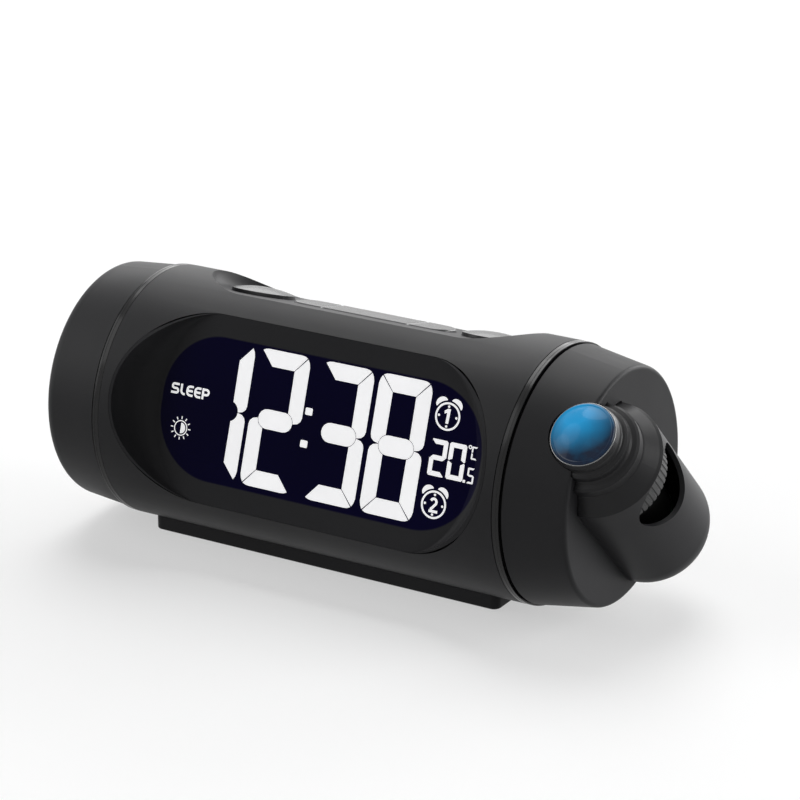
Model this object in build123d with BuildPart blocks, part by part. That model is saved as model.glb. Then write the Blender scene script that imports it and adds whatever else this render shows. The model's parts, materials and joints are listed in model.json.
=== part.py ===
from build123d import *
import os
from math import cos, radians, sin, sqrt

os.makedirs("parts", exist_ok=True)

# Projection alarm clock: a lying cylinder on a low plinth, its axis along X, the display on
# the front (-Y). The origin is on the table top, under the middle of the whole clock. All sizes
# in mm.

# ---- driving dimensions -------------------------------------------------------------------
fit = 0.1  # gap between pieces that are assembled and stay put
turn_gap = 0.3  # gap between pieces that pass each other when they move
bearing_gap = 0.05  # radial gap of a shaft in its bore
overcut = 5.0  # how far a cut runs on into the open

body_radius = 40.0
body_half_length = 69.3
shell_wall = 2.2
rib_width = 1.4
rib_height = 1.4
split_tilt = 41.0  # the shells part in a plane that faces the rear and down
split_offset = 13.0

foot_radius = 5.0
foot_thickness = 1.2
foot_height = 0.8  # how far the feet stand out of the plinth
foot_edge = 0.2
foot_margin = 2.0  # from the feet to the plinth's ends and sides
saddle_floor = 1.0  # plinth under the lowest line of the body
plinth_left_inset = 3.7  # from the body's left end to the plinth's
plinth_right_inset = 10.5
plinth_half_width = 16.8
plinth_height = 10.0  # of the saddle's tips
plinth_corner = 2.5
plinth_edge = 0.5

ring_width = 2.8
ring_wall = 4.0
ring_chamfer = 0.25
bulkhead_thickness = 2.4
lip_wall = 2.0

cap_length = 19.7
cap_step = 0.6  # how far the end pieces lie below the body's surface
cap_taper = 1.8
cap_edge_radius = 4.0
grille_hole_radius = 1.1
grille_pitch = 4.6
grille_rings = 5

display_tilt = 17.0
window_sill = 10.8  # what the window leaves of the body's radius above and below
window_end_margin = 3.3
window_thickness = 2.0
window_lip = 1.0
dish_end_length = 10.0  # of the rising ends of the window's hollow
dish_sweep = 75.0  # how steep the ends of a dish get
dish_steps = 4

scoop_tilt = 18.2
scoop_end_margin = 11.3
scoop_side_margin = 20.6
scoop_end_length = 6.0

key_travel = 0.8
key_flange = 1.1
flange_overlap = 0.8
snooze_half_length = 15.2
strip_front = 7.8
strip_rear = 5.2
strip_rise = 1.3  # of the rear edge
strip_slant = 4.2  # the tops of these keys fall towards the front
strip_crown = 0.7
strip_end_radius = 5.8
round_key_radius = 10.0
round_key_inset = 16.6  # from the scoop's end to the middle of a round key
round_key_spacing = 3.8  # between a round key and the strip of keys
round_key_rise = 1.1
round_key_crown = 1.4
key_slack = 0.2  # round the keys in their openings

panel_end_cover = 1.5  # how far the panel runs under the window's rising ends
panel_side_margin = 4.7
panel_corner = 2.0
lcd_thickness = 2.8
guide_thickness = 4.0
guide_margin = 2.0
frame_end_margin = 1.5
frame_side_margin = 3.2
frame_corner = 3.0
frame_floor = 1.2
board_thickness = 1.6
board_margin = 0.5
capacitor_radius = 3.1
capacitor_length = 8.0
switch_size = 6.0
switch_height = 3.5
switch_button_height = 0.9
switch_button_radius = 1.6

bay_half_length = 26.5
bay_width = 23.4
bay_shift = 1.5
bay_roof = 14.2
bay_wall = 1.5
cell_radius = 5.25
cell_length = 44.5
cell_gap = 0.6
nub_length = 1.0
nub_radius = 1.9
contact_size = 8.0
contact_thickness = 0.5
spring_radius = 2.4
door_thickness = 1.8
door_pin_radius = 0.6
door_pin_length = 1.2
door_grip_length = 8.0
door_grip_width = 2.0
door_grip_inset = 4.0

speaker_depth = 14.0
speaker_flange = 1.4
speaker_land = 3.0  # width of the flange's face
speaker_ring_wall = 1.6
speaker_ring_length = 3.4
basket_sheet = 1.2
basket_slant = 1.5  # the sloping wall, measured square to the axis
basket_margin = 1.0
basket_bore_radius = 9.0
surround_width = 2.8
cone_depth = 6.7
cone_sheet = 0.6
cone_neck_radius = 8.0
dust_cap_rise = 2.4
magnet_radius = 13.5
magnet_length = 8.0
magnet_clearance = 2.0
pole_radius = 7.0
pole_length = 4.0

vent_count = 4
vent_length = 34.0
vent_width = 2.2
vent_pitch = 5.0
vent_lowest = 3.0
jack_place = -48.0
jack_height = -4.0
jack_width = 10.0
jack_depth = 11.5
jack_nose_radius = 4.0
jack_nose_inset = 1.0
jack_bore_radius = 2.75
jack_pin_radius = 1.0
jack_boss_radius = 8.0

drum_length = 19.2
drum_taper = 3.2
drum_edge_radius = 1.4
spigot_radius = 8.0
spigot_bore = 5.5
plate_thickness = 1.4
hub_radius = 10.3
hub_length = 4.0
washer_thickness = 1.2
retainer_thickness = 1.4

barrel_elevation = 44.3  # of the projector's axis at rest
barrel_inset = 0.4  # the projector's axis lies this far outside the drum's face
barrel_drop = 0.8
barrel_radius = 18.6
barrel_wall = 1.5
barrel_front = 20.9
barrel_back = 23.2
dome_length = 16.0
dome_shoulder = 12.0
cavity_end_radius = 9.0
cavity_end_length = 9.5
finger_half_length = 11.4
finger_half_width = 13.6
finger_overlap = 1.0  # how far the finger opening runs past the barrel's front edge
finger_depth = 11.2
finger_taper = 12.0

nose_flange = 1.0
nose_edge = 0.8
nose_slope = 3.9
nose_break = 0.4
nose_step_radius = 14.2
nose_step_end = 29.8
nose_step_round = 0.7
nose_blend = 1.0
nose_collar_radius = 11.75
nose_collar_end = 33.6
nose_collar_round = 0.6
nose_tip_radius = 10.4
nose_tip_start = 35.9
nose_tip_round = (0.5, 1.4)
nose_end = 38.3
nose_edge_radius = 9.2
skirt_wall = 1.5
nose_inner_width = 4.0
nose_inner_floor = 1.5

wheel_radius = 16.8
wheel_width = 8.6
wheel_inset = 0.9
wheel_rim = 2.0
wheel_web = 2.4
wheel_hub = 1.9
wheel_ribs = 52
rib_groove_radius = 0.42
rib_groove_lift = 0.1

carrier_radius = 8.6
carrier_wall = 1.2
carrier_seat = 0.5
carrier_start = 3.0
carrier_end = 36.6
lens_thickness = 2.6
lens_crown = 1.1
lens_inset = 0.4
lens_rim_inset = 1.2
rear_lens_inset = 2.0
condenser_gap = 1.0
condenser_rim = 1.6
tube_wall = 1.35
tube_back = 14.0
ear_reach = 24.0
ear_place = 21.0
ear_half_width = 5.0
ear_thickness = 2.1
ear_drop = 3.0
projector_lcd_size = 12.0
projector_lcd_thickness = 1.0
led_size = 3.5
led_length = 1.5

screw_radius = 1.2
screw_head_radius = 2.4
screw_head_height = 1.6
small_screw_radius = 0.9
small_head_radius = 1.7
small_head_height = 1.2
retainer_screw_radius = 0.7
retainer_head_radius = 1.3
retainer_head_height = 0.7
boss_wall = 1.9
small_boss_wall = 1.5
tip_room = 0.5  # beyond a screw's tip in its hole
small_screw_reach = 4.5
shell_screw_inset = 19.3
shell_screw_depth = 6.3  # of the case screws below the shell's inner face
shell_boss_length = 13.0
shell_screw_seat = 17.0
key_screw_reach = 11.6
frame_screw_inset = (3.0, 5.0)
base_screw_inset = (25.6, 20.8)
base_screw_reach = 9.0
base_boss_top = 9.5
base_boss_skin = 1.0
cap_screw_inset = 5.6
cap_screw_count = 3
cap_screw_length = 12.0
retainer_screw_count = 3
retainer_screw_length = 6.0
drum_screw_reach = (25.0, 16.0)
drum_screw_length = 12.0

# ---- derived sizes ------------------------------------------------------------------------
inner_radius = body_radius - shell_wall
plinth_floor = foot_height
axis_height = foot_height + saddle_floor + body_radius
cap_root_radius = body_radius - cap_step
cap_end_radius = cap_root_radius - cap_taper
drum_root_radius = body_radius - cap_step
drum_face_radius = drum_root_radius - drum_taper
bulkhead_start = body_half_length - bulkhead_thickness - fit
bulkhead_end = body_half_length - fit
ring_end = body_half_length + ring_width
ring_bore = body_radius - ring_wall
cap_start = ring_end + fit
cap_end = cap_start + cap_length
drum_start = ring_end + turn_gap
drum_face = drum_start + drum_length
# the body's middle, left of the whole clock's because the projector stands out on the right
body_place = (cap_end - drum_face - barrel_inset - barrel_radius) / 2

window_half_length = body_half_length - window_end_margin
window_half_height = body_radius - window_sill
window_face = sqrt(body_radius**2 - window_half_height**2)
window_back = window_face - window_thickness
window_straight = window_half_length - window_half_height
dish_half_length = window_half_length - dish_end_length
scoop_half_length = body_half_length - scoop_end_margin
scoop_half_width = body_radius - scoop_side_margin
scoop_floor = sqrt(body_radius**2 - scoop_half_width**2)
scoop_straight = scoop_half_length - scoop_half_width
scoop_floor_half_length = scoop_half_length - scoop_end_length
round_key_place = scoop_half_length - round_key_inset
strip_half_length = round_key_place - round_key_radius - round_key_spacing
strip_key_middle = (strip_half_length + snooze_half_length + fit) / 2

lcd_length = 2 * (dish_half_length + panel_end_cover)
lcd_height = 2 * (window_half_height - panel_side_margin)
frame_length = 2 * (window_half_length - frame_end_margin)
frame_height = 2 * (window_half_height - frame_side_margin)
plinth_left = body_half_length - plinth_left_inset
plinth_right = body_half_length - plinth_right_inset

screw_hole = screw_radius + bearing_gap
boss_radius = screw_radius + boss_wall
small_hole = small_screw_radius + bearing_gap
small_boss = small_screw_radius + small_boss_wall
small_hole_depth = small_screw_reach + tip_room
shell_screw_place = body_half_length - shell_screw_inset
shell_screw_reach = inner_radius - shell_screw_depth
frame_screw_place = frame_length / 2 - frame_screw_inset[0]
frame_screw_height = frame_height / 2 - frame_screw_inset[1]
base_screw_places = (base_screw_inset[0] - plinth_left, plinth_right - base_screw_inset[1])
cap_screw_radius = ring_bore - cap_screw_inset
speaker_radius = cap_screw_radius - boss_radius - turn_gap


# ---- planes -------------------------------------------------------------------------------
def across(x):
    # square to the clock's axis: local x to the rear, local y up
    return Plane(origin=(body_place + x, 0, axis_height), x_dir=(0, 1, 0), z_dir=(1, 0, 0))


def leaning(angle, distance):
    # parallel to the clock's axis, facing forward and angle degrees upward
    facing = Vector(0, -cos(radians(angle)), sin(radians(angle)))
    middle = Vector(body_place, 0, axis_height)
    return Plane(origin=middle + facing * distance, x_dir=(1, 0, 0), z_dir=facing)


def display(distance):
    return leaning(display_tilt, distance)


def top(distance):
    return leaning(90 + scoop_tilt, distance)


def joint_face(distance):
    # the plane in which the two shells part, facing the rear shell
    return leaning(180 + split_tilt, distance)


table = Plane(origin=(body_place, 0, 0), x_dir=(1, 0, 0), z_dir=(0, 0, 1))
clock_axis = Axis((0, 0, axis_height), (1, 0, 0))
lengthwise = Plane(origin=(body_place, 0, axis_height), x_dir=(1, 0, 0), z_dir=(0, -1, 0))

beam = Vector(0, -cos(radians(barrel_elevation)), sin(radians(barrel_elevation)))
beam_side = Vector(0, sin(radians(barrel_elevation)), cos(radians(barrel_elevation)))
barrel_place = body_place + drum_face + barrel_inset
barrel_origin = Vector(barrel_place, 0, axis_height) - beam_side * barrel_drop
beam_axis = Axis(barrel_origin, beam)
beam_section = Plane(origin=barrel_origin, x_dir=(1, 0, 0), z_dir=beam_side * -1)


def barrel(distance):
    # square to the projector's axis, distance along the beam
    return Plane(origin=barrel_origin + beam * distance, x_dir=(1, 0, 0), z_dir=beam)


def drum_side(x):
    # faces +X: local x across the barrel, local y along the beam, its middle on the clock's axis
    return Plane(origin=(body_place + x, 0, axis_height), x_dir=beam_side, z_dir=(1, 0, 0))


# ---- shared shapes ------------------------------------------------------------------------
def body_cylinder(radius, half_length, mode=Mode.ADD):
    with Locations((body_place, 0, axis_height)):
        Cylinder(radius, 2 * half_length, rotation=(0, 90, 0), mode=mode)


def stadium(straight, half_height, reach):
    # a bar with elliptical ends
    Rectangle(2 * straight, 2 * half_height)
    with Locations((-straight, 0), (straight, 0)):
        Ellipse(reach, half_height)


def dish(tilt, floor, straight, half_height, floor_reach, lip_reach):
    # a hollow in the cylinder with a flat floor and ends that rise in a curve to the surface
    depth = body_radius - floor
    with BuildPart() as hollow:
        for step in range(dish_steps + 1):
            angle = radians(dish_sweep * step / dish_steps)
            spread = sin(angle) / sin(radians(dish_sweep))
            rise = depth * (1 - cos(angle)) / (1 - cos(radians(dish_sweep)))
            with BuildSketch(leaning(tilt, floor + rise)):
                stadium(straight, half_height, floor_reach + (lip_reach - floor_reach) * spread)
        loft()
        with BuildSketch(leaning(tilt, body_radius)):
            stadium(straight, half_height, lip_reach)
        extrude(amount=overcut)
    return hollow.part


# ---- main shells --------------------------------------------------------------------------
frame_front = window_back - fit
lcd_back = frame_front - lcd_thickness
guide_back = lcd_back - fit - guide_thickness
frame_back = guide_back - frame_floor
board_front = frame_back - fit
board_back = board_front - board_thickness

key_underside = scoop_floor - shell_wall
flange_top = key_underside - turn_gap
flange_bottom = flange_top - key_flange
stem_length = key_travel + turn_gap
stem_end = flange_bottom - stem_length
switch_top = stem_end - key_travel - fit
switch_base = switch_top - switch_button_height - switch_height
key_board_back = switch_base - board_thickness

with BuildPart() as shell_tube:
    body_cylinder(body_radius, body_half_length)
    body_cylinder(inner_radius, body_half_length, Mode.SUBTRACT)
    with BuildSketch(across(bulkhead_start - fit - rib_width), across(-bulkhead_start + fit)):
        Circle(inner_radius + shell_wall / 2)
        Circle(inner_radius - rib_height, mode=Mode.SUBTRACT)
    extrude(amount=rib_width)

window_floor_reach = dish_half_length - window_straight
window_lip_reach = window_half_length - window_lip - window_straight
window_hollow = dish(
    display_tilt, window_face, window_straight, window_half_height, window_floor_reach, window_lip_reach
)
window_outside = dish(
    display_tilt,
    window_back,
    window_straight,
    window_half_height,
    window_floor_reach + window_thickness,
    window_lip_reach + window_thickness,
)

scoop_floor_reach = scoop_floor_half_length - scoop_straight
scoop_hollow = dish(
    90 + scoop_tilt, scoop_floor, scoop_straight, scoop_half_width, scoop_floor_reach, scoop_half_width
)
scoop_pan = dish(
    90 + scoop_tilt,
    key_underside,
    scoop_straight,
    scoop_half_width,
    scoop_floor_reach + shell_wall,
    scoop_half_width + shell_wall,
)

web_length = inner_radius - shell_screw_reach
web_middle = shell_screw_reach + web_length / 2

with BuildPart() as front_bosses:
    with BuildSketch(joint_face(split_offset)):
        with GridLocations(2 * shell_screw_place, 2 * shell_screw_reach, 2, 2):
            Circle(boss_radius)
        with GridLocations(2 * shell_screw_place, 2 * web_middle, 2, 2):
            Rectangle(boss_radius, web_length)
    extrude(amount=-shell_boss_length)
    with BuildSketch(display(frame_front + fit)):
        with GridLocations(2 * frame_screw_place, 2 * frame_screw_height, 2, 2):
            Circle(small_boss)
    extrude(amount=body_radius / 2)
    body_cylinder(inner_radius + shell_wall / 2, body_half_length, Mode.INTERSECT)
    with BuildSketch(top(switch_base + fit)):
        with GridLocations(2 * strip_key_middle, 2 * key_screw_reach, 2, 2):
            Circle(small_boss)
    extrude(amount=key_underside + shell_wall / 2 - switch_base - fit)

strip_width = strip_front + strip_rear
strip_middle = (strip_rear - strip_front) / 2

with BuildPart() as front_shell:
    add(shell_tube.part)
    add(scoop_pan)
    body_cylinder(body_radius, body_half_length, Mode.INTERSECT)
    add(scoop_hollow, mode=Mode.SUBTRACT)
    with BuildSketch(display(window_back)):
        stadium(window_straight, window_half_height + fit, window_half_height + fit)
    extrude(amount=body_radius, mode=Mode.SUBTRACT)
    with BuildSketch(top(key_underside - fit)):
        with Locations((0, strip_middle)):
            RectangleRounded(
                2 * (strip_half_length + key_slack),
                strip_width + 2 * key_slack,
                strip_end_radius + key_slack,
            )
        with Locations((-round_key_place, 0), (round_key_place, 0)):
            Circle(round_key_radius + key_slack)
    extrude(amount=2 * shell_wall, mode=Mode.SUBTRACT)
    split(bisect_by=joint_face(split_offset), keep=Keep.BOTTOM)
    add(front_bosses.part)
    with BuildSketch(joint_face(split_offset)):
        with GridLocations(2 * shell_screw_place, 2 * shell_screw_reach, 2, 2):
            Circle(screw_hole)
    extrude(amount=-shell_boss_length + shell_wall, mode=Mode.SUBTRACT)
    with BuildSketch(display(frame_front)):
        with GridLocations(2 * frame_screw_place, 2 * frame_screw_height, 2, 2):
            Circle(small_hole)
    extrude(amount=small_hole_depth, mode=Mode.SUBTRACT)
    with BuildSketch(top(switch_base)):
        with GridLocations(2 * strip_key_middle, 2 * key_screw_reach, 2, 2):
            Circle(small_hole)
    extrude(amount=small_hole_depth, mode=Mode.SUBTRACT)
front_shell.part.label = "front_shell"
export_step(front_shell.part, "parts/front_shell.step")

bay_middle = table.offset(axis_height - body_radius)
jack_front = sqrt(inner_radius**2 - (abs(jack_height) + jack_width / 2 + jack_nose_inset) ** 2) - fit
jack_middle = (body_place + jack_place, 0, axis_height + jack_height)
jack_plane = Plane(origin=jack_middle, x_dir=(1, 0, 0), z_dir=(0, 1, 0))

with BuildPart() as rear_bosses:
    with BuildSketch(joint_face(split_offset + fit)):
        with GridLocations(2 * shell_screw_place, 2 * shell_screw_reach, 2, 2):
            Circle(boss_radius)
        with GridLocations(2 * shell_screw_place, 2 * web_middle, 2, 2):
            Rectangle(boss_radius, web_length)
    extrude(amount=body_radius)
    with BuildSketch(table):
        for place in base_screw_places:
            with Locations((place, base_screw_reach), (place, -base_screw_reach)):
                Circle(boss_radius)
    extrude(amount=base_boss_top)
    with BuildSketch(bay_middle):
        with Locations((0, bay_shift)):
            Rectangle(2 * (bay_half_length + bay_wall), bay_width + 2 * bay_wall)
    extrude(amount=bay_roof + bay_wall - axis_height + body_radius)
    with BuildSketch(jack_plane.offset(jack_front)):
        Circle(jack_boss_radius)
    extrude(amount=shell_wall * 2)
    body_cylinder(inner_radius + shell_wall / 2, body_half_length, Mode.INTERSECT)

with BuildPart() as rear_shell:
    add(shell_tube.part)
    split(bisect_by=joint_face(split_offset + fit), keep=Keep.TOP)
    add(rear_bosses.part)
    # battery bay, open downwards
    with BuildSketch(table):
        with Locations((0, bay_shift)):
            Rectangle(2 * bay_half_length, bay_width)
    extrude(amount=bay_roof, mode=Mode.SUBTRACT)
    # case screws
    with BuildSketch(joint_face(split_offset)):
        with GridLocations(2 * shell_screw_place, 2 * shell_screw_reach, 2, 2):
            Circle(screw_hole + bearing_gap)
    extrude(amount=body_radius, mode=Mode.SUBTRACT)
    with BuildSketch(joint_face(shell_screw_seat)):
        with GridLocations(2 * shell_screw_place, 2 * shell_screw_reach, 2, 2):
            Circle(screw_head_radius + 2 * fit)
    extrude(amount=body_radius, mode=Mode.SUBTRACT)
    # plinth screws
    with BuildSketch(table):
        for place in base_screw_places:
            with Locations((place, base_screw_reach), (place, -base_screw_reach)):
                Circle(screw_hole)
    extrude(amount=base_boss_top - base_boss_skin, mode=Mode.SUBTRACT)
    # power inlet and vents
    with BuildSketch(jack_plane):
        Circle(jack_nose_radius + fit)
    extrude(amount=body_radius, mode=Mode.SUBTRACT)
    with BuildSketch(Plane(origin=(body_place, 0, axis_height), x_dir=(1, 0, 0), z_dir=(0, 1, 0))):
        for slot in range(vent_count):
            with Locations((0, -vent_lowest - slot * vent_pitch)):
                SlotOverall(vent_length, vent_width)
    extrude(amount=body_radius, mode=Mode.SUBTRACT)
rear_shell.part.label = "rear_shell"
export_step(rear_shell.part, "parts/rear_shell.step")

with BuildPart() as shell_screws:
    with BuildSketch(joint_face(shell_screw_seat + fit)):
        with GridLocations(2 * shell_screw_place, 2 * shell_screw_reach, 2, 2):
            Circle(screw_head_radius)
    extrude(amount=screw_head_height)
    with BuildSketch(joint_face(shell_screw_seat + fit)):
        with GridLocations(2 * shell_screw_place, 2 * shell_screw_reach, 2, 2):
            Circle(screw_radius)
    extrude(amount=-(shell_screw_seat - split_offset) - shell_boss_length + shell_wall + 2 * tip_room)
shell_screws.part.label = "shell_screws"
export_step(shell_screws.part, "parts/shell_screws.step")

# ---- ends of the body ---------------------------------------------------------------------
for side, name in ((-1, "trim_ring_left"), (1, "trim_ring_right")):
    with BuildPart() as trim_ring:
        with BuildSketch(across(side * body_half_length)):
            Circle(body_radius)
            Circle(ring_bore, mode=Mode.SUBTRACT)
        extrude(amount=side * ring_width)
        chamfer(trim_ring.edges().filter_by(GeomType.CIRCLE).group_by(SortBy.RADIUS)[-1], ring_chamfer)
    trim_ring.part.label = name
    export_step(trim_ring.part, f"parts/{name}.step")

with BuildPart() as left_bulkhead:
    with BuildSketch(across(-bulkhead_start)):
        Circle(inner_radius - fit)
        Circle(magnet_radius + magnet_clearance, mode=Mode.SUBTRACT)
        with PolarLocations(cap_screw_radius, cap_screw_count, start_angle=90):
            Circle(screw_hole, mode=Mode.SUBTRACT)
    extrude(amount=-bulkhead_thickness)
    with BuildSketch(across(-bulkhead_end)):
        Circle(ring_bore - fit)
        Circle(ring_bore - fit - lip_wall, mode=Mode.SUBTRACT)
    extrude(amount=-ring_width)
left_bulkhead.part.label = "left_bulkhead"
export_step(left_bulkhead.part, "parts/left_bulkhead.step")

cap_inside_end = cap_end - shell_wall
speaker_front = cap_inside_end - fit

with BuildPart() as left_cap:
    with BuildSketch(lengthwise):
        with BuildLine():
            Polyline(
                (-cap_start, 0),
                (-cap_start, cap_root_radius),
                (-cap_end, cap_end_radius),
                (-cap_end, 0),
                close=True,
            )
        make_face()
    revolve(axis=clock_axis)
    fillet(left_cap.edges().filter_by(GeomType.CIRCLE).group_by(Axis.X)[0], cap_edge_radius)
    with BuildSketch(lengthwise):
        with BuildLine():
            Polyline(
                (-cap_start + overcut, 0),
                (-cap_start + overcut, cap_root_radius - shell_wall),
                (-cap_inside_end + shell_wall, cap_end_radius - shell_wall),
                (-cap_inside_end, cap_end_radius - 2 * shell_wall),
                (-cap_inside_end, 0),
                close=True,
            )
        make_face()
    revolve(axis=clock_axis, mode=Mode.SUBTRACT)
    with BuildSketch(across(-cap_inside_end - shell_wall / 2)):
        Circle(speaker_radius + fit + speaker_ring_wall)
        Circle(speaker_radius + fit, mode=Mode.SUBTRACT)
    extrude(amount=speaker_ring_length + shell_wall / 2)
    with BuildSketch(across(-cap_inside_end - shell_wall / 2)):
        with PolarLocations(cap_screw_radius, cap_screw_count, start_angle=90):
            Circle(boss_radius)
    extrude(amount=cap_inside_end + shell_wall / 2 - bulkhead_end - fit)
    with BuildSketch(across(-bulkhead_end)):
        with PolarLocations(cap_screw_radius, cap_screw_count, start_angle=90):
            Circle(screw_hole)
    extrude(amount=bulkhead_thickness - cap_screw_length - tip_room, mode=Mode.SUBTRACT)
    with BuildSketch(across(-cap_end)):
        Circle(grille_hole_radius)
        for ring in range(1, grille_rings + 1):
            with PolarLocations(ring * grille_pitch, 6 * ring):
                Circle(grille_hole_radius)
    extrude(amount=2 * shell_wall, mode=Mode.SUBTRACT)
left_cap.part.label = "left_cap"
export_step(left_cap.part, "parts/left_cap.step")

with BuildPart() as cap_screws:
    with BuildSketch(across(-bulkhead_start + fit)):
        with PolarLocations(cap_screw_radius, cap_screw_count, start_angle=90):
            Circle(screw_head_radius)
    extrude(amount=screw_head_height)
    with BuildSketch(across(-bulkhead_start + fit)):
        with PolarLocations(cap_screw_radius, cap_screw_count, start_angle=90):
            Circle(screw_radius)
    extrude(amount=-cap_screw_length)
cap_screws.part.label = "cap_screws"
export_step(cap_screws.part, "parts/cap_screws.step")

# ---- loudspeaker behind the grille --------------------------------------------------------
flange_back = speaker_front - speaker_flange
basket_back = speaker_front - speaker_depth + 2 * fit + basket_sheet / 2
basket_radius = magnet_radius + basket_margin
land_radius = speaker_radius - speaker_land

with BuildPart() as speaker_frame:
    with BuildSketch(lengthwise):
        with BuildLine():
            Polyline(
                (-speaker_front, speaker_radius),
                (-speaker_front, land_radius),
                (-speaker_front + basket_sheet, land_radius),
                (-speaker_front + basket_sheet, land_radius - basket_slant),
                (-basket_back, basket_radius - basket_slant),
                (-basket_back, basket_bore_radius),
                (-basket_back + basket_sheet, basket_bore_radius),
                (-basket_back + basket_sheet, basket_radius),
                (-flange_back + basket_sheet, land_radius),
                (-flange_back, speaker_radius),
                close=True,
            )
        make_face()
    revolve(axis=clock_axis)
speaker_frame.part.label = "speaker_frame"
export_step(speaker_frame.part, "parts/speaker_frame.step")

cone_front = -speaker_front + turn_gap
cone_back = cone_front + cone_depth
surround_radius = land_radius - 2 * fit
cone_radius = surround_radius - surround_width
with BuildPart() as speaker_cone:
    with BuildSketch(lengthwise):
        with BuildLine():
            Polyline(
                (cone_front, surround_radius),
                (cone_front, cone_radius),
                (cone_back, cone_neck_radius),
                (cone_back - dust_cap_rise, 0),
                (cone_back - dust_cap_rise + cone_sheet, 0),
                (cone_back + cone_sheet, cone_neck_radius + cone_sheet),
                (cone_front + cone_sheet, cone_radius + cone_sheet),
                (cone_front + cone_sheet, surround_radius),
                close=True,
            )
        make_face()
    revolve(axis=clock_axis)
speaker_cone.part.label = "speaker_cone"
export_step(speaker_cone.part, "parts/speaker_cone.step")

with BuildPart() as speaker_magnet:
    with BuildSketch(across(-basket_back + basket_sheet + fit)):
        Circle(magnet_radius)
    extrude(amount=magnet_length)
    with BuildSketch(across(-basket_back + basket_sheet + fit)):
        Circle(pole_radius)
    extrude(amount=-pole_length)
speaker_magnet.part.label = "speaker_magnet"
export_step(speaker_magnet.part, "parts/speaker_magnet.step")

# ---- display: window, panel, light guide, frame and boards --------------------------------
with BuildPart() as display_window:
    add(window_outside)
    with BuildSketch(display(window_back)):
        stadium(window_straight, window_half_height, window_half_height)
    extrude(amount=body_radius, mode=Mode.INTERSECT)
    body_cylinder(body_radius, body_half_length, Mode.INTERSECT)
    add(window_hollow, mode=Mode.SUBTRACT)
display_window.part.label = "display_window"
export_step(display_window.part, "parts/display_window.step")

with BuildPart() as lcd_panel:
    with BuildSketch(display(lcd_back)):
        RectangleRounded(lcd_length, lcd_height, panel_corner)
    extrude(amount=lcd_thickness)
lcd_panel.part.label = "lcd_panel"
export_step(lcd_panel.part, "parts/lcd_panel.step")

with BuildPart() as light_guide:
    with BuildSketch(display(guide_back + fit)):
        RectangleRounded(lcd_length - guide_margin, lcd_height - guide_margin, panel_corner)
    extrude(amount=guide_thickness - fit)
light_guide.part.label = "light_guide"
export_step(light_guide.part, "parts/light_guide.step")

with BuildPart() as display_frame:
    with BuildSketch(display(frame_back)):
        RectangleRounded(frame_length, frame_height, frame_corner)
    extrude(amount=frame_front - frame_back)
    with BuildSketch(display(guide_back)):
        guide_room = 2 * fit - guide_margin
        RectangleRounded(lcd_length + guide_room, lcd_height + guide_room, panel_corner)
    extrude(amount=guide_thickness + fit, mode=Mode.SUBTRACT)
    with BuildSketch(display(lcd_back - fit)):
        RectangleRounded(lcd_length + 2 * fit, lcd_height + 2 * fit, panel_corner)
    extrude(amount=lcd_thickness + 2 * fit, mode=Mode.SUBTRACT)
    with BuildSketch(display(frame_back)):
        with GridLocations(2 * frame_screw_place, 2 * frame_screw_height, 2, 2):
            Circle(small_hole)
    extrude(amount=frame_front - frame_back, mode=Mode.SUBTRACT)
display_frame.part.label = "display_frame"
export_step(display_frame.part, "parts/display_frame.step")

with BuildPart() as main_board:
    with BuildSketch(display(board_back)):
        main_board_size = (frame_length - 2 * board_margin, frame_height - 2 * board_margin)
        RectangleRounded(*main_board_size, panel_corner)
        with GridLocations(2 * frame_screw_place, 2 * frame_screw_height, 2, 2):
            Circle(small_hole, mode=Mode.SUBTRACT)
    extrude(amount=board_thickness)
main_board.part.label = "main_board"
export_step(main_board.part, "parts/main_board.step")

# each chip or block: place along X, place upward, length, height, thickness
blocks = (
    (0, 5, 14, 14, 2.0),
    (-35, 6, 24, 17, 4.0),
    (30, -5, 12, 9, 2.0),
    (12, -18, 18, 6, 6.5),
)
capacitors = ((44, -11), (52, -11), (-50, -13))
with BuildPart() as board_components:
    for along, up, length, height, thickness in blocks:
        with BuildSketch(display(board_back)):
            with Locations((along, up)):
                Rectangle(length, height)
        extrude(amount=-thickness)
    with BuildSketch(display(board_back)):
        with Locations(*capacitors):
            Circle(capacitor_radius)
    extrude(amount=-capacitor_length)
board_components.part.label = "board_components"
export_step(board_components.part, "parts/board_components.step")

with BuildPart() as display_screws:
    with BuildSketch(display(board_back - fit)):
        with GridLocations(2 * frame_screw_place, 2 * frame_screw_height, 2, 2):
            Circle(small_head_radius)
    extrude(amount=-small_head_height)
    with BuildSketch(display(board_back - fit)):
        with GridLocations(2 * frame_screw_place, 2 * frame_screw_height, 2, 2):
            Circle(small_screw_radius)
    extrude(amount=frame_front - board_back + small_screw_reach)
display_screws.part.label = "display_screws"
export_step(display_screws.part, "parts/display_screws.step")

# ---- keys on top --------------------------------------------------------------------------
switch_places = (-round_key_place, -strip_key_middle, 0, strip_key_middle, round_key_place)

with BuildPart() as key_board:
    with BuildSketch(top(key_board_back)):
        key_board_length = 2 * (round_key_place + round_key_radius)
        RectangleRounded(key_board_length, 2 * (key_screw_reach + small_boss), panel_corner)
        with GridLocations(2 * strip_key_middle, 2 * key_screw_reach, 2, 2):
            Circle(small_hole, mode=Mode.SUBTRACT)
    extrude(amount=board_thickness)
key_board.part.label = "key_board"
export_step(key_board.part, "parts/key_board.step")

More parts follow.
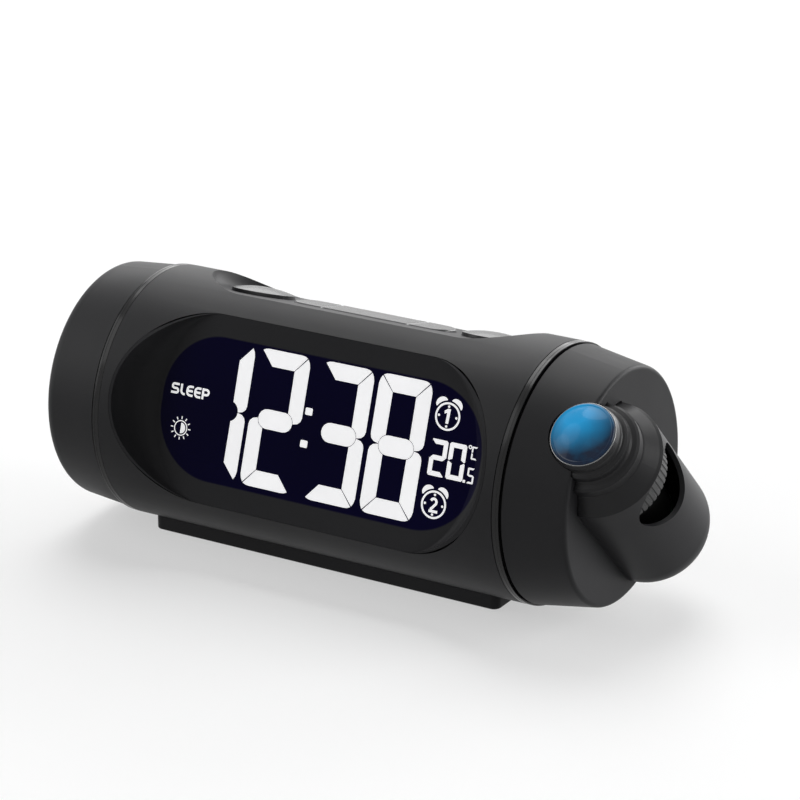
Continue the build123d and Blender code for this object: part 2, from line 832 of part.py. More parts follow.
with BuildPart() as tact_switches:
    with BuildSketch(top(switch_base)):
        for place in switch_places:
            with Locations((place, 0)):
                Rectangle(switch_size, switch_size)
    extrude(amount=switch_height)
    with BuildSketch(top(switch_base + switch_height)):
        for place in switch_places:
            with Locations((place, 0)):
                Circle(switch_button_radius)
    extrude(amount=switch_button_height)
tact_switches.part.label = "tact_switches"
export_step(tact_switches.part, "parts/tact_switches.step")

with BuildPart() as key_board_screws:
    with BuildSketch(top(key_board_back - fit)):
        with GridLocations(2 * strip_key_middle, 2 * key_screw_reach, 2, 2):
            Circle(small_head_radius)
    extrude(amount=-small_head_height)
    with BuildSketch(top(key_board_back - fit)):
        with GridLocations(2 * strip_key_middle, 2 * key_screw_reach, 2, 2):
            Circle(small_screw_radius)
    extrude(amount=board_thickness + small_screw_reach)
key_board_screws.part.label = "key_board_screws"
export_step(key_board_screws.part, "parts/key_board_screws.step")

round_edge = scoop_floor + round_key_rise
for side, name in ((-1, "round_button_left"), (1, "round_button_right")):
    middle = top(0).origin + Vector(side * round_key_place, 0, 0)
    turning_axis = Axis(middle, top(0).z_dir)
    with BuildPart() as round_button:
        with BuildSketch(Plane(origin=middle, x_dir=(1, 0, 0), z_dir=top(0).y_dir * -1)):
            with BuildLine():
                Polyline(
                    (0, round_edge + round_key_crown),
                    (0, stem_end),
                    (switch_button_radius, stem_end),
                    (switch_button_radius, flange_bottom),
                    (round_key_radius + key_slack + flange_overlap, flange_bottom),
                    (round_key_radius + key_slack + flange_overlap, flange_top),
                    (round_key_radius, flange_top),
                    (round_key_radius, round_edge),
                )
                TangentArc(
                    (0, round_edge + round_key_crown),
                    (round_key_radius, round_edge),
                    tangent=(1, 0),
                )
            make_face()
        revolve(axis=turning_axis)
    round_button.part.label = name
    export_step(round_button.part, f"parts/{name}.step")

strip_keys = (
    ("strip_key_left", -strip_half_length, -snooze_half_length - turn_gap),
    ("snooze_bar", -snooze_half_length, snooze_half_length),
    ("strip_key_right", snooze_half_length + turn_gap, strip_half_length),
)
slant = radians(strip_slant)
rear_edge = (scoop_floor + strip_rise) * cos(slant) - strip_rear * sin(slant)
slanted_top = leaning(90 + scoop_tilt - strip_slant, rear_edge)
for name, start, end in strip_keys:
    middle = (start + end) / 2
    length = end - start
    with BuildPart() as strip_key:
        with BuildSketch(top(flange_top)):
            with Locations((0, strip_middle)):
                RectangleRounded(2 * strip_half_length, strip_width, strip_end_radius)
            with Locations((middle, strip_middle)):
                Rectangle(length, strip_width, mode=Mode.INTERSECT)
        extrude(amount=scoop_floor + strip_rise - flange_top)
        split(bisect_by=slanted_top, keep=Keep.BOTTOM)
        fillet(strip_key.faces().sort_by(Axis(top(0).origin, top(0).z_dir))[-1].edges(), strip_crown)
        with BuildSketch(top(flange_bottom)):
            with Locations((middle, strip_middle)):
                Rectangle(length, strip_width + 2 * (key_slack + flange_overlap))
        extrude(amount=key_flange)
        with BuildSketch(top(stem_end)):
            with Locations((middle, 0)):
                Circle(switch_button_radius)
        extrude(amount=stem_length)
    strip_key.part.label = name
    export_step(strip_key.part, f"parts/{name}.step")

# ---- plinth, feet, battery bay ------------------------------------------------------------
plinth_middle = (plinth_right - plinth_left) / 2
plinth_length = plinth_right + plinth_left
foot_inset = foot_radius + foot_margin
foot_recess = foot_thickness - foot_height
door_half_length = bay_half_length - turn_gap
door_width = bay_width - 2 * turn_gap
door_axis_place = body_place - door_half_length + door_thickness / 2
door_axis_height = plinth_floor + door_thickness / 2
foot_grid = (plinth_length - 2 * foot_inset, 2 * (plinth_half_width - foot_inset))

with BuildPart() as base_plinth:
    with BuildSketch(table.offset(plinth_floor)):
        with Locations((plinth_middle, 0)):
            RectangleRounded(plinth_length, 2 * plinth_half_width, plinth_corner)
    extrude(amount=plinth_height)
    body_cylinder(body_radius + fit, plinth_length, Mode.SUBTRACT)
    fillet(base_plinth.edges().group_by(Axis.Z)[0], plinth_edge)
    with BuildSketch(table):
        with Locations((0, bay_shift)):
            Rectangle(2 * bay_half_length, bay_width)
        for place in base_screw_places:
            with Locations((place, base_screw_reach), (place, -base_screw_reach)):
                Circle(screw_hole + bearing_gap)
    extrude(amount=plinth_height, mode=Mode.SUBTRACT)
    with BuildSketch(table.offset(plinth_floor)):
        for place in base_screw_places:
            with Locations((place, base_screw_reach), (place, -base_screw_reach)):
                Circle(screw_head_radius + fit)
    extrude(amount=saddle_floor / 2, mode=Mode.SUBTRACT)
    with BuildSketch(table.offset(plinth_floor)):
        with Locations((plinth_middle, 0)):
            with GridLocations(*foot_grid, 2, 2):
                Circle(foot_radius + fit)
    extrude(amount=foot_recess, mode=Mode.SUBTRACT)
    with Locations((door_axis_place, bay_shift, door_axis_height)):
        Cylinder(
            door_pin_radius + bearing_gap,
            bay_width + 2 * door_pin_length,
            rotation=(90, 0, 0),
            mode=Mode.SUBTRACT,
        )
base_plinth.part.label = "base_plinth"
export_step(base_plinth.part, "parts/base_plinth.step")

with BuildPart() as rubber_feet:
    with BuildSketch(table):
        with Locations((plinth_middle, 0)):
            with GridLocations(*foot_grid, 2, 2):
                Circle(foot_radius)
    extrude(amount=foot_thickness)
    chamfer(rubber_feet.edges().group_by(Axis.Z)[0], foot_edge)
rubber_feet.part.label = "rubber_feet"
export_step(rubber_feet.part, "parts/rubber_feet.step")

with BuildPart() as base_screws:
    with BuildSketch(table.offset(plinth_floor + fit)):
        for place in base_screw_places:
            with Locations((place, base_screw_reach), (place, -base_screw_reach)):
                Circle(screw_head_radius)
    extrude(amount=saddle_floor / 2 - fit)
    with BuildSketch(table.offset(plinth_floor + fit)):
        for place in base_screw_places:
            with Locations((place, base_screw_reach), (place, -base_screw_reach)):
                Circle(screw_radius)
    extrude(amount=base_boss_top - base_boss_skin - 2 * tip_room - plinth_floor)
base_screws.part.label = "base_screws"
export_step(base_screws.part, "parts/base_screws.step")

with BuildPart() as battery_door:
    with BuildSketch(table.offset(plinth_floor)):
        with Locations((door_thickness / 4, bay_shift)):
            Rectangle(2 * door_half_length - door_thickness / 2, door_width)
    extrude(amount=door_thickness)
    with Locations((door_axis_place, bay_shift, door_axis_height)):
        Cylinder(door_thickness / 2, door_width, rotation=(90, 0, 0))
        Cylinder(door_pin_radius, bay_width + 2 * door_pin_length - 2 * turn_gap, rotation=(90, 0, 0))
    with BuildSketch(table.offset(plinth_floor)):
        with Locations((door_half_length - door_grip_inset, bay_shift)):
            SlotOverall(door_grip_length, door_grip_width, rotation=90)
    extrude(amount=door_thickness / 2, mode=Mode.SUBTRACT)
battery_door.part.label = "battery_door"
export_step(battery_door.part, "parts/battery_door.step")

cell_pitch = 2 * cell_radius + cell_gap
cell_height = bay_roof - fit - cell_radius
with BuildPart() as backup_batteries:
    for turn in (-1, 1):
        body_length = cell_length - nub_length
        body_middle = body_place - turn * nub_length / 2
        with Locations((body_middle, bay_shift + turn * cell_pitch / 2, cell_height)):
            Cylinder(cell_radius, body_length, rotation=(0, 90, 0))
        nub_middle = body_place + turn * (cell_length - nub_length) / 2
        with Locations((nub_middle, bay_shift + turn * cell_pitch / 2, cell_height)):
            Cylinder(nub_radius, nub_length, rotation=(0, 90, 0))
backup_batteries.part.label = "backup_batteries"
export_step(backup_batteries.part, "parts/backup_batteries.step")

contact_room = bay_half_length - fit - cell_length / 2
with BuildPart() as battery_contacts:
    for end in (-1, 1):
        for turn in (-1, 1):
            plate_place = body_place + end * (bay_half_length - fit - contact_thickness / 2)
            spring_length = contact_room - contact_thickness - fit
            spring_place = body_place + end * (cell_length / 2 + fit + spring_length / 2)
            with Locations((plate_place, bay_shift + turn * cell_pitch / 2, cell_height)):
                Box(contact_thickness, contact_size, contact_size)
            with Locations((spring_place, bay_shift + turn * cell_pitch / 2, cell_height)):
                Cylinder(spring_radius, spring_length, rotation=(0, 90, 0))
battery_contacts.part.label = "battery_contacts"
export_step(battery_contacts.part, "parts/battery_contacts.step")

with BuildPart() as power_jack:
    with BuildSketch(jack_plane.offset(jack_front - fit)):
        Rectangle(jack_width, jack_width)
    extrude(amount=-jack_depth)
    with BuildSketch(jack_plane.offset(jack_front - fit)):
        Circle(jack_nose_radius)
    extrude(amount=body_radius - jack_nose_inset - jack_front)
    with BuildSketch(jack_plane.offset(jack_front - jack_depth / 2)):
        Circle(jack_bore_radius)
    extrude(amount=jack_depth, mode=Mode.SUBTRACT)
    with BuildSketch(jack_plane.offset(jack_front - jack_depth / 2)):
        Circle(jack_pin_radius)
    extrude(amount=jack_depth / 2)
power_jack.part.label = "power_jack"
export_step(power_jack.part, "parts/power_jack.step")

# ---- swivel of the projector drum ---------------------------------------------------------
plate_start = drum_start + 2 * fit
plate_end = plate_start + plate_thickness
hub_end = plate_end + hub_length
washer_start = hub_end + bearing_gap
retainer_start = washer_start + washer_thickness + bearing_gap
retainer_screw_place = (spigot_radius + spigot_bore) / 2

with BuildPart() as right_bulkhead:
    with BuildSketch(across(bulkhead_start)):
        Circle(inner_radius - fit)
    extrude(amount=bulkhead_thickness)
    with BuildSketch(across(bulkhead_end)):
        Circle(ring_bore - fit)
        Circle(ring_bore - fit - lip_wall, mode=Mode.SUBTRACT)
    extrude(amount=ring_width)
    with BuildSketch(across(bulkhead_end)):
        Circle(spigot_radius)
    extrude(amount=retainer_start - bulkhead_end - fit)
    with BuildSketch(across(bulkhead_start)):
        Circle(spigot_bore)
    extrude(amount=retainer_start - bulkhead_start, mode=Mode.SUBTRACT)
    with BuildSketch(across(retainer_start)):
        with PolarLocations(retainer_screw_place, retainer_screw_count):
            Circle(retainer_screw_radius + bearing_gap)
    extrude(amount=-retainer_screw_length, mode=Mode.SUBTRACT)
right_bulkhead.part.label = "right_bulkhead"
export_step(right_bulkhead.part, "parts/right_bulkhead.step")

with BuildPart() as friction_washer:
    with BuildSketch(across(washer_start)):
        Circle(hub_radius)
        Circle(spigot_radius + bearing_gap, mode=Mode.SUBTRACT)
    extrude(amount=washer_thickness)
friction_washer.part.label = "friction_washer"
export_step(friction_washer.part, "parts/friction_washer.step")

with BuildPart() as swivel_retainer:
    with BuildSketch(across(retainer_start)):
        Circle(hub_radius)
        Circle(spigot_bore, mode=Mode.SUBTRACT)
        with PolarLocations(retainer_screw_place, retainer_screw_count):
            Circle(retainer_screw_radius + bearing_gap, mode=Mode.SUBTRACT)
    extrude(amount=retainer_thickness)
swivel_retainer.part.label = "swivel_retainer"
export_step(swivel_retainer.part, "parts/swivel_retainer.step")

with BuildPart() as retainer_screws:
    with BuildSketch(across(retainer_start + retainer_thickness + bearing_gap)):
        with PolarLocations(retainer_screw_place, retainer_screw_count):
            Circle(retainer_head_radius)
    extrude(amount=retainer_head_height)
    with BuildSketch(across(retainer_start + retainer_thickness + bearing_gap)):
        with PolarLocations(retainer_screw_place, retainer_screw_count):
            Circle(retainer_screw_radius)
    extrude(amount=-retainer_screw_length)
retainer_screws.part.label = "retainer_screws"
export_step(retainer_screws.part, "parts/retainer_screws.step")

# ---- projector: drum with its barrel ------------------------------------------------------
drum_slope = (drum_root_radius - drum_face_radius) / drum_length
drum_inside = drum_face - shell_wall
flange_end = barrel_front + nose_flange
finger_middle = barrel_front - finger_half_length + finger_overlap
ear_boss_start = drum_inside - ear_drop
slope_end = flange_end + nose_slope

# the dome at the barrel's rear is a shoulder arc that runs into a larger crown arc
shoulder_place = barrel_radius - dome_shoulder
dome_crown = (shoulder_place**2 + dome_length**2 - dome_shoulder**2) / (2 * (dome_length - dome_shoulder))
crown_place = dome_crown - barrel_back - dome_length
crown_lean = dome_crown / (dome_crown - dome_shoulder)
dome_blend = (shoulder_place * crown_lean, crown_place + (-barrel_back - crown_place) * crown_lean)

with BuildPart() as barrel_outside:
    with BuildSketch(beam_section):
        with BuildLine():
            Line((0, barrel_front), (barrel_radius, barrel_front))
            Line((barrel_radius, barrel_front), (barrel_radius, -barrel_back))
            TangentArc((barrel_radius, -barrel_back), dome_blend, tangent=(0, -1))
            TangentArc((0, -barrel_back - dome_length), dome_blend, tangent=(1, 0))
            Line((0, -barrel_back - dome_length), (0, barrel_front))
        make_face()
    revolve(axis=beam_axis)
    split(bisect_by=across(drum_face - shell_wall / 2), keep=Keep.TOP)

with BuildPart() as nose_room:
    # the room that the nose piece takes up in the drum
    with BuildSketch(beam_section):
        with BuildLine():
            Polyline(
                (0, barrel_front),
                (barrel_radius + fit, barrel_front),
                (barrel_radius + fit, flange_end + fit),
                (nose_step_radius + fit, slope_end + nose_break + fit),
                (nose_step_radius + fit, nose_step_end + fit),
                (nose_collar_radius + fit, nose_step_end + nose_blend + fit),
                (nose_collar_radius + fit, nose_collar_end + fit),
                (nose_tip_radius + fit, nose_collar_end + nose_collar_round + fit),
                (nose_tip_radius + fit, nose_end + overcut),
                (0, nose_end + overcut),
                close=True,
            )
        make_face()
    revolve(axis=beam_axis)

with BuildPart() as projector_drum:
    with BuildSketch(lengthwise):
        with BuildLine():
            Polyline(
                (drum_start, 0),
                (drum_start, drum_root_radius),
                (drum_face, drum_face_radius),
                (drum_face, 0),
                close=True,
            )
        make_face()
    revolve(axis=clock_axis)
    fillet(projector_drum.edges().filter_by(GeomType.CIRCLE).group_by(Axis.X)[-1], drum_edge_radius)
    add(barrel_outside.part)
    with BuildSketch(lengthwise):
        with BuildLine():
            Polyline(
                (drum_start, 0),
                (drum_start, drum_root_radius - shell_wall),
                (drum_inside, drum_face_radius + drum_slope * shell_wall - shell_wall),
                (drum_inside, 0),
                close=True,
            )
        make_face()
    revolve(axis=clock_axis, mode=Mode.SUBTRACT)
    with BuildSketch(beam_section):
        with BuildLine():
            Polyline(
                (0, barrel_front),
                (barrel_radius - barrel_wall, barrel_front),
                (barrel_radius - barrel_wall, -barrel_back),
                (cavity_end_radius, -barrel_back - cavity_end_length),
                (0, -barrel_back - cavity_end_length),
                close=True,
            )
        make_face()
    revolve(axis=beam_axis, mode=Mode.SUBTRACT)
    # bosses for the back plate and for the optical tube's ears
    with BuildSketch(drum_side(plate_end + fit)):
        with GridLocations(2 * drum_screw_reach[0], 2 * drum_screw_reach[1], 2, 2):
            Circle(boss_radius)
    extrude(amount=drum_inside + shell_wall / 2 - plate_end - fit)
    with BuildSketch(drum_side(ear_boss_start)):
        with Locations((-ear_place, 0), (ear_place, 0)):
            Circle(small_boss)
    extrude(amount=ear_drop + shell_wall / 2)
    with BuildSketch(drum_side(plate_end)):
        with GridLocations(2 * drum_screw_reach[0], 2 * drum_screw_reach[1], 2, 2):
            Circle(screw_hole)
    extrude(amount=drum_screw_length, mode=Mode.SUBTRACT)
    with BuildSketch(drum_side(ear_boss_start)):
        with Locations((-ear_place, 0), (ear_place, 0)):
            Circle(small_hole)
    extrude(amount=ear_drop + shell_wall / 4, mode=Mode.SUBTRACT)
    add(nose_room.part, mode=Mode.SUBTRACT)
    # finger opening over the focus wheel
    finger_plane = Plane(
        origin=barrel_origin + Vector(barrel_radius, 0, 0) + beam * finger_middle,
        x_dir=beam_side,
        z_dir=(1, 0, 0),
    )
    with BuildSketch(finger_plane):
        Ellipse(finger_half_width, finger_half_length)
    extrude(amount=-finger_depth, taper=finger_taper, mode=Mode.SUBTRACT)
projector_drum.part.label = "projector_drum"
export_step(projector_drum.part, "parts/projector_drum.step")

with BuildPart() as drum_back_plate:
    with BuildSketch(drum_side(plate_start)):
        Circle(drum_root_radius - shell_wall - drum_slope * (plate_end - drum_start) - fit)
        with GridLocations(2 * drum_screw_reach[0], 2 * drum_screw_reach[1], 2, 2):
            Circle(screw_hole, mode=Mode.SUBTRACT)
    extrude(amount=plate_thickness)
    with BuildSketch(across(plate_end)):
        Circle(hub_radius)
    extrude(amount=hub_length)
    with BuildSketch(across(plate_start)):
        Circle(spigot_radius + bearing_gap)
    extrude(amount=plate_thickness + hub_length, mode=Mode.SUBTRACT)
    add(nose_room.part, mode=Mode.SUBTRACT)
drum_back_plate.part.label = "drum_back_plate"
export_step(drum_back_plate.part, "parts/drum_back_plate.step")

with BuildPart() as drum_screws:
    with BuildSketch(drum_side(plate_start - bearing_gap)):
        with GridLocations(2 * drum_screw_reach[0], 2 * drum_screw_reach[1], 2, 2):
            Circle(screw_head_radius)
    extrude(amount=-small_head_height)
    with BuildSketch(drum_side(plate_start - bearing_gap)):
        with GridLocations(2 * drum_screw_reach[0], 2 * drum_screw_reach[1], 2, 2):
            Circle(screw_radius)
    extrude(amount=drum_screw_length)
drum_screws.part.label = "drum_screws"
export_step(drum_screws.part, "parts/drum_screws.step")

# ---- projector: nose, focus wheel and optics ----------------------------------------------
nose_bore = carrier_radius + bearing_gap
skirt_radius = barrel_radius - barrel_wall - fit
wheel_end = barrel_front - wheel_inset
wheel_start = wheel_end - wheel_width
skirt_end = wheel_end + 2 * fit

with BuildPart() as lens_bezel:
    with BuildSketch(beam_section):
        with BuildLine():
            Polyline(
                (skirt_radius, barrel_front + bearing_gap),
                (barrel_radius, barrel_front + bearing_gap),
                (barrel_radius, flange_end - nose_edge),
                (barrel_radius - nose_edge, flange_end),
                (nose_step_radius + nose_break, slope_end),
                (nose_step_radius, slope_end + nose_break),
                (nose_step_radius, nose_step_end - nose_step_round),
                (nose_step_radius - nose_step_round, nose_step_end),
                (nose_collar_radius + nose_blend / 2, nose_step_end + nose_blend / 3),
                (nose_collar_radius, nose_step_end + nose_blend),
                (nose_collar_radius, nose_collar_end - nose_collar_round),
                (nose_collar_radius - nose_collar_round, nose_collar_end),
                (nose_tip_radius + nose_collar_round / 3, nose_collar_end + nose_collar_round / 3),
                (nose_tip_radius, nose_collar_end + nose_collar_round),
                (nose_tip_radius, nose_tip_start),
                (nose_tip_radius - nose_tip_round[0], nose_tip_start + nose_tip_round[1]),
                (nose_edge_radius, nose_end),
                (nose_bore, nose_end),
                (nose_bore, slope_end),
                (skirt_radius - nose_inner_width, flange_end + nose_inner_floor),
                (skirt_radius - skirt_wall, barrel_front),
                (skirt_radius - skirt_wall, skirt_end),
                (skirt_radius, skirt_end),
                close=True,
            )
        make_face()
    revolve(axis=beam_axis)
lens_bezel.part.label = "lens_bezel"
export_step(lens_bezel.part, "parts/lens_bezel.step")

web_start = wheel_start + (wheel_width - wheel_web) / 2
with BuildPart() as focus_wheel:
    with BuildSketch(barrel(wheel_start)):
        Circle(wheel_radius)
        Circle(wheel_radius - wheel_rim, mode=Mode.SUBTRACT)
        with PolarLocations(wheel_radius + rib_groove_lift, wheel_ribs):
            Circle(rib_groove_radius, mode=Mode.SUBTRACT)
    extrude(amount=wheel_width)
    with BuildSketch(barrel(web_start)):
        Circle(wheel_radius - wheel_rim / 2)
    extrude(amount=wheel_web)
    with BuildSketch(barrel(wheel_start)):
        Circle(nose_bore + wheel_hub)
    extrude(amount=wheel_width)
    with BuildSketch(barrel(wheel_start)):
        Circle(nose_bore)
    extrude(amount=wheel_width, mode=Mode.SUBTRACT)
focus_wheel.part.label = "focus_wheel"
export_step(focus_wheel.part, "parts/focus_wheel.step")

lens_seat_radius = carrier_radius - carrier_seat
lens_seat = carrier_end - lens_thickness - lens_inset
with BuildPart() as lens_carrier:
    with BuildSketch(barrel(carrier_start)):
        Circle(carrier_radius)
        Circle(carrier_radius - carrier_wall, mode=Mode.SUBTRACT)
    extrude(amount=carrier_end - carrier_start)
    with BuildSketch(barrel(lens_seat)):
        Circle(lens_seat_radius)
    extrude(amount=carrier_end - lens_seat, mode=Mode.SUBTRACT)
lens_carrier.part.label = "lens_carrier"
export_step(lens_carrier.part, "parts/lens_carrier.step")


def lens_profile(radius, back, front, crown):
    # half outline of a lens with a flat back and a domed front
    Polyline((0, front + crown), (0, back), (radius, back), (radius, front))
    TangentArc((0, front + crown), (radius, front), tangent=(1, 0))


with BuildPart() as front_lens:
    with BuildSketch(beam_section):
        with BuildLine():
            lens_rim = carrier_end - lens_rim_inset
            lens_profile(lens_seat_radius - bearing_gap, lens_seat + bearing_gap, lens_rim, lens_crown)
        make_face()
    revolve(axis=beam_axis)
front_lens.part.label = "front_lens"
export_step(front_lens.part, "parts/front_lens.step")

rear_lens_place = carrier_start + rear_lens_inset
with BuildPart() as rear_lens:
    with BuildSketch(beam_section):
        with BuildLine():
            lens_profile(
                carrier_radius - carrier_wall - bearing_gap,
                rear_lens_place,
                rear_lens_place + lens_thickness - lens_crown,
                lens_crown,
            )
        make_face()
    revolve(axis=beam_axis)
rear_lens.part.label = "rear_lens"
export_step(rear_lens.part, "parts/rear_lens.step")

tube_front = wheel_start - turn_gap
ear_start = ear_boss_start - fit - ear_thickness
with BuildPart() as optical_tube:
    with BuildSketch(barrel(-tube_back)):
        Circle(nose_bore + tube_wall)
    extrude(amount=tube_front + tube_back)
    with BuildSketch(drum_side(ear_start)):
        Rectangle(2 * ear_reach, 2 * ear_half_width)
    extrude(amount=ear_thickness)
    with BuildSketch(barrel(-tube_back)):
        Circle(nose_bore)
    extrude(amount=tube_front + tube_back, mode=Mode.SUBTRACT)
    with BuildSketch(drum_side(ear_start)):
        with Locations((-ear_place, 0), (ear_place, 0)):
            Circle(small_hole)
    extrude(amount=ear_thickness, mode=Mode.SUBTRACT)
optical_tube.part.label = "optical_tube"
export_step(optical_tube.part, "parts/optical_tube.step")

with BuildPart() as optical_tube_screws:
    with BuildSketch(drum_side(ear_start - bearing_gap)):
        with Locations((-ear_place, 0), (ear_place, 0)):
            Circle(small_head_radius)
    extrude(amount=-small_head_height)
    with BuildSketch(drum_side(ear_start - bearing_gap)):
        with Locations((-ear_place, 0), (ear_place, 0)):
            Circle(small_screw_radius)
    extrude(amount=ear_thickness + ear_drop)
optical_tube_screws.part.label = "optical_tube_screws"
export_step(optical_tube_screws.part, "parts/optical_tube_screws.step")

condenser_back = -tube_back + led_length + condenser_gap
condenser_front = condenser_back + condenser_rim
projector_lcd_back = condenser_front + lens_crown + turn_gap
with BuildPart() as condenser_lens:
    with BuildSketch(beam_section):
        with BuildLine():
            lens_profile(nose_bore - fit, condenser_back, condenser_front, lens_crown)
        make_face()
    revolve(axis=beam_axis)
condenser_lens.part.label = "condenser_lens"
export_step(condenser_lens.part, "parts/condenser_lens.step")

with BuildPart() as projector_lcd:
    with BuildSketch(barrel(projector_lcd_back)):
        Rectangle(projector_lcd_size, projector_lcd_size)
    extrude(amount=projector_lcd_thickness)
projector_lcd.part.label = "projector_lcd"
export_step(projector_lcd.part, "parts/projector_lcd.step")

with BuildPart() as led_board:
    with BuildSketch(barrel(-tube_back - fit)):
        Circle(nose_bore + tube_wall)
    extrude(amount=-board_thickness)
led_board.part.label = "led_board"
export_step(led_board.part, "parts/led_board.step")

with BuildPart() as projector_led:
    with BuildSketch(barrel(-tube_back - fit)):
        Rectangle(led_size, led_size)
    extrude(amount=led_length)
projector_led.part.label = "projector_led"
export_step(projector_led.part, "parts/projector_led.step")
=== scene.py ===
import json
import math

import bpy
from mathutils import Matrix, Vector
from mathutils.bvhtree import BVHTree


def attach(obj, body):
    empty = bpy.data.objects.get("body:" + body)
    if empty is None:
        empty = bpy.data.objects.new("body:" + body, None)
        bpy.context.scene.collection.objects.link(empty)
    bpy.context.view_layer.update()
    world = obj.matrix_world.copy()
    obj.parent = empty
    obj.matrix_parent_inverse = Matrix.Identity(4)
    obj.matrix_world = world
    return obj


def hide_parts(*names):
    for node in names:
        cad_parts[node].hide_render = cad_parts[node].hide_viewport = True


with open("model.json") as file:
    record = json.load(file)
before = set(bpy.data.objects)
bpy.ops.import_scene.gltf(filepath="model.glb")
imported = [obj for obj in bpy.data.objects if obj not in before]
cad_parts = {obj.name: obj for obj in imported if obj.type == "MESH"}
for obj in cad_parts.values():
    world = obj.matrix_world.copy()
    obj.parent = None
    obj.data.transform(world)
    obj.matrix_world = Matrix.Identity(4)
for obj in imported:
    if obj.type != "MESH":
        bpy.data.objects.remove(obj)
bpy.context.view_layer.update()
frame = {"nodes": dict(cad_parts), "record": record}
nodes = frame["nodes"]
mm = 0.001

# camera
cameraLook = {
    "place": (481.15, -791.4, 400.0), "target": (5.55, 0.0, 54.28), "lens": 146.2, "sensor": 36.0,
    "clip": (0.01, 50.0)}


def addCamera():
    bpy.ops.object.camera_add(location=Vector(cameraLook["place"]) * mm)
    camera = bpy.context.object
    camera.name = "studioCamera"
    gaze = Vector(cameraLook["target"]) - Vector(cameraLook["place"])
    camera.rotation_euler = gaze.to_track_quat("-Z", "Y").to_euler()
    camera.data.lens = cameraLook["lens"]
    camera.data.sensor_width = cameraLook["sensor"]
    camera.data.clip_start, camera.data.clip_end = cameraLook["clip"]
    bpy.context.scene.camera = camera


addCamera()
bpy.context.scene.view_settings.view_transform = "Standard"
print("camera set")


# materials
def startMaterial(name):
    material = bpy.data.materials.new(name)
    material.use_nodes = True
    tree = material.node_tree
    shader = next(n for n in tree.nodes if n.type == "BSDF_PRINCIPLED")
    place = tree.nodes.new("ShaderNodeTexCoord")
    return material, tree, shader, place


def addNoise(tree, place, scale, detail=2.0, roughness=0.5):
    noise = tree.nodes.new("ShaderNodeTexNoise")
    noise.inputs["Scale"].default_value = scale
    noise.inputs["Detail"].default_value = detail
    noise.inputs["Roughness"].default_value = roughness
    tree.links.new(place.outputs["Object"], noise.inputs["Vector"])
    return noise.outputs["Fac"]


def addRamp(tree, source, low, high, start=0.35, end=0.65):
    ramp = tree.nodes.new("ShaderNodeValToRGB")
    ramp.color_ramp.elements[0].position = start
    ramp.color_ramp.elements[1].position = end
    ramp.color_ramp.elements[0].color = (*low, 1.0)
    ramp.color_ramp.elements[1].color = (*high, 1.0)
    tree.links.new(source, ramp.inputs["Fac"])
    return ramp.outputs["Color"]


def addRange(tree, source, low, high):
    spread = tree.nodes.new("ShaderNodeMapRange")
    spread.inputs["To Min"].default_value = low
    spread.inputs["To Max"].default_value = high
    tree.links.new(source, spread.inputs["Value"])
    return spread.outputs["Result"]


def addMath(tree, operation, source, value=None):
    # one sum on a value, with a fixed second number where it needs one
    total = tree.nodes.new("ShaderNodeMath")
    total.operation = operation
    if value is not None:
        total.inputs[1].default_value = value
    tree.links.new(source, total.inputs[0])
    return total


def addBump(tree, source, shader, distance):
    bump = tree.nodes.new("ShaderNodeBump")
    bump.inputs["Distance"].default_value = distance
    bump.inputs["Strength"].default_value = 1.0
    tree.links.new(source, bump.inputs["Height"])
    tree.links.new(bump.outputs["Normal"], shader.inputs["Normal"])


def mouldedPlastic(name, look):
    # cloudy colour, a fine moulded grain and a little wear in the gloss
    material, tree, shader, place = startMaterial(name)
    clouds = addNoise(tree, place, look["cloudScale"], 3.0)
    tree.links.new(addRamp(tree, clouds, look["dark"], look["light"]), shader.inputs["Base Color"])
    wear = addNoise(tree, place, look["wearScale"], 4.0, 0.6)
    tree.links.new(addRange(tree, wear, *look["rough"]), shader.inputs["Roughness"])
    grain = addNoise(tree, place, look["grainScale"])
    addBump(tree, grain, shader, look["grainDepth"] * mm)
    shader.inputs["Specular IOR Level"].default_value = look["specular"]
    if look.get("coat"):
        shader.inputs["Coat Weight"].default_value = look["coat"]
        shader.inputs["Coat Roughness"].default_value = look["coatRough"]
    return material


brushMarks = {"detail": 3.0, "depth": 0.003}


def plainMetal(name, look):
    material, tree, shader, place = startMaterial(name)
    shader.inputs["Metallic"].default_value = 1.0
    stretch = tree.nodes.new("ShaderNodeMapping")
    stretch.inputs["Scale"].default_value = look["stretch"]
    tree.links.new(place.outputs["Object"], stretch.inputs["Vector"])
    brush = tree.nodes.new("ShaderNodeTexNoise")
    brush.inputs["Scale"].default_value = look["brushScale"]
    brush.inputs["Detail"].default_value = brushMarks["detail"]
    tree.links.new(stretch.outputs["Vector"], brush.inputs["Vector"])
    lines = brush.outputs["Fac"]
    tree.links.new(addRamp(tree, lines, look["dark"], look["light"]), shader.inputs["Base Color"])
    tree.links.new(addRange(tree, lines, *look["rough"]), shader.inputs["Roughness"])
    addBump(tree, lines, shader, brushMarks["depth"] * mm)
    return material


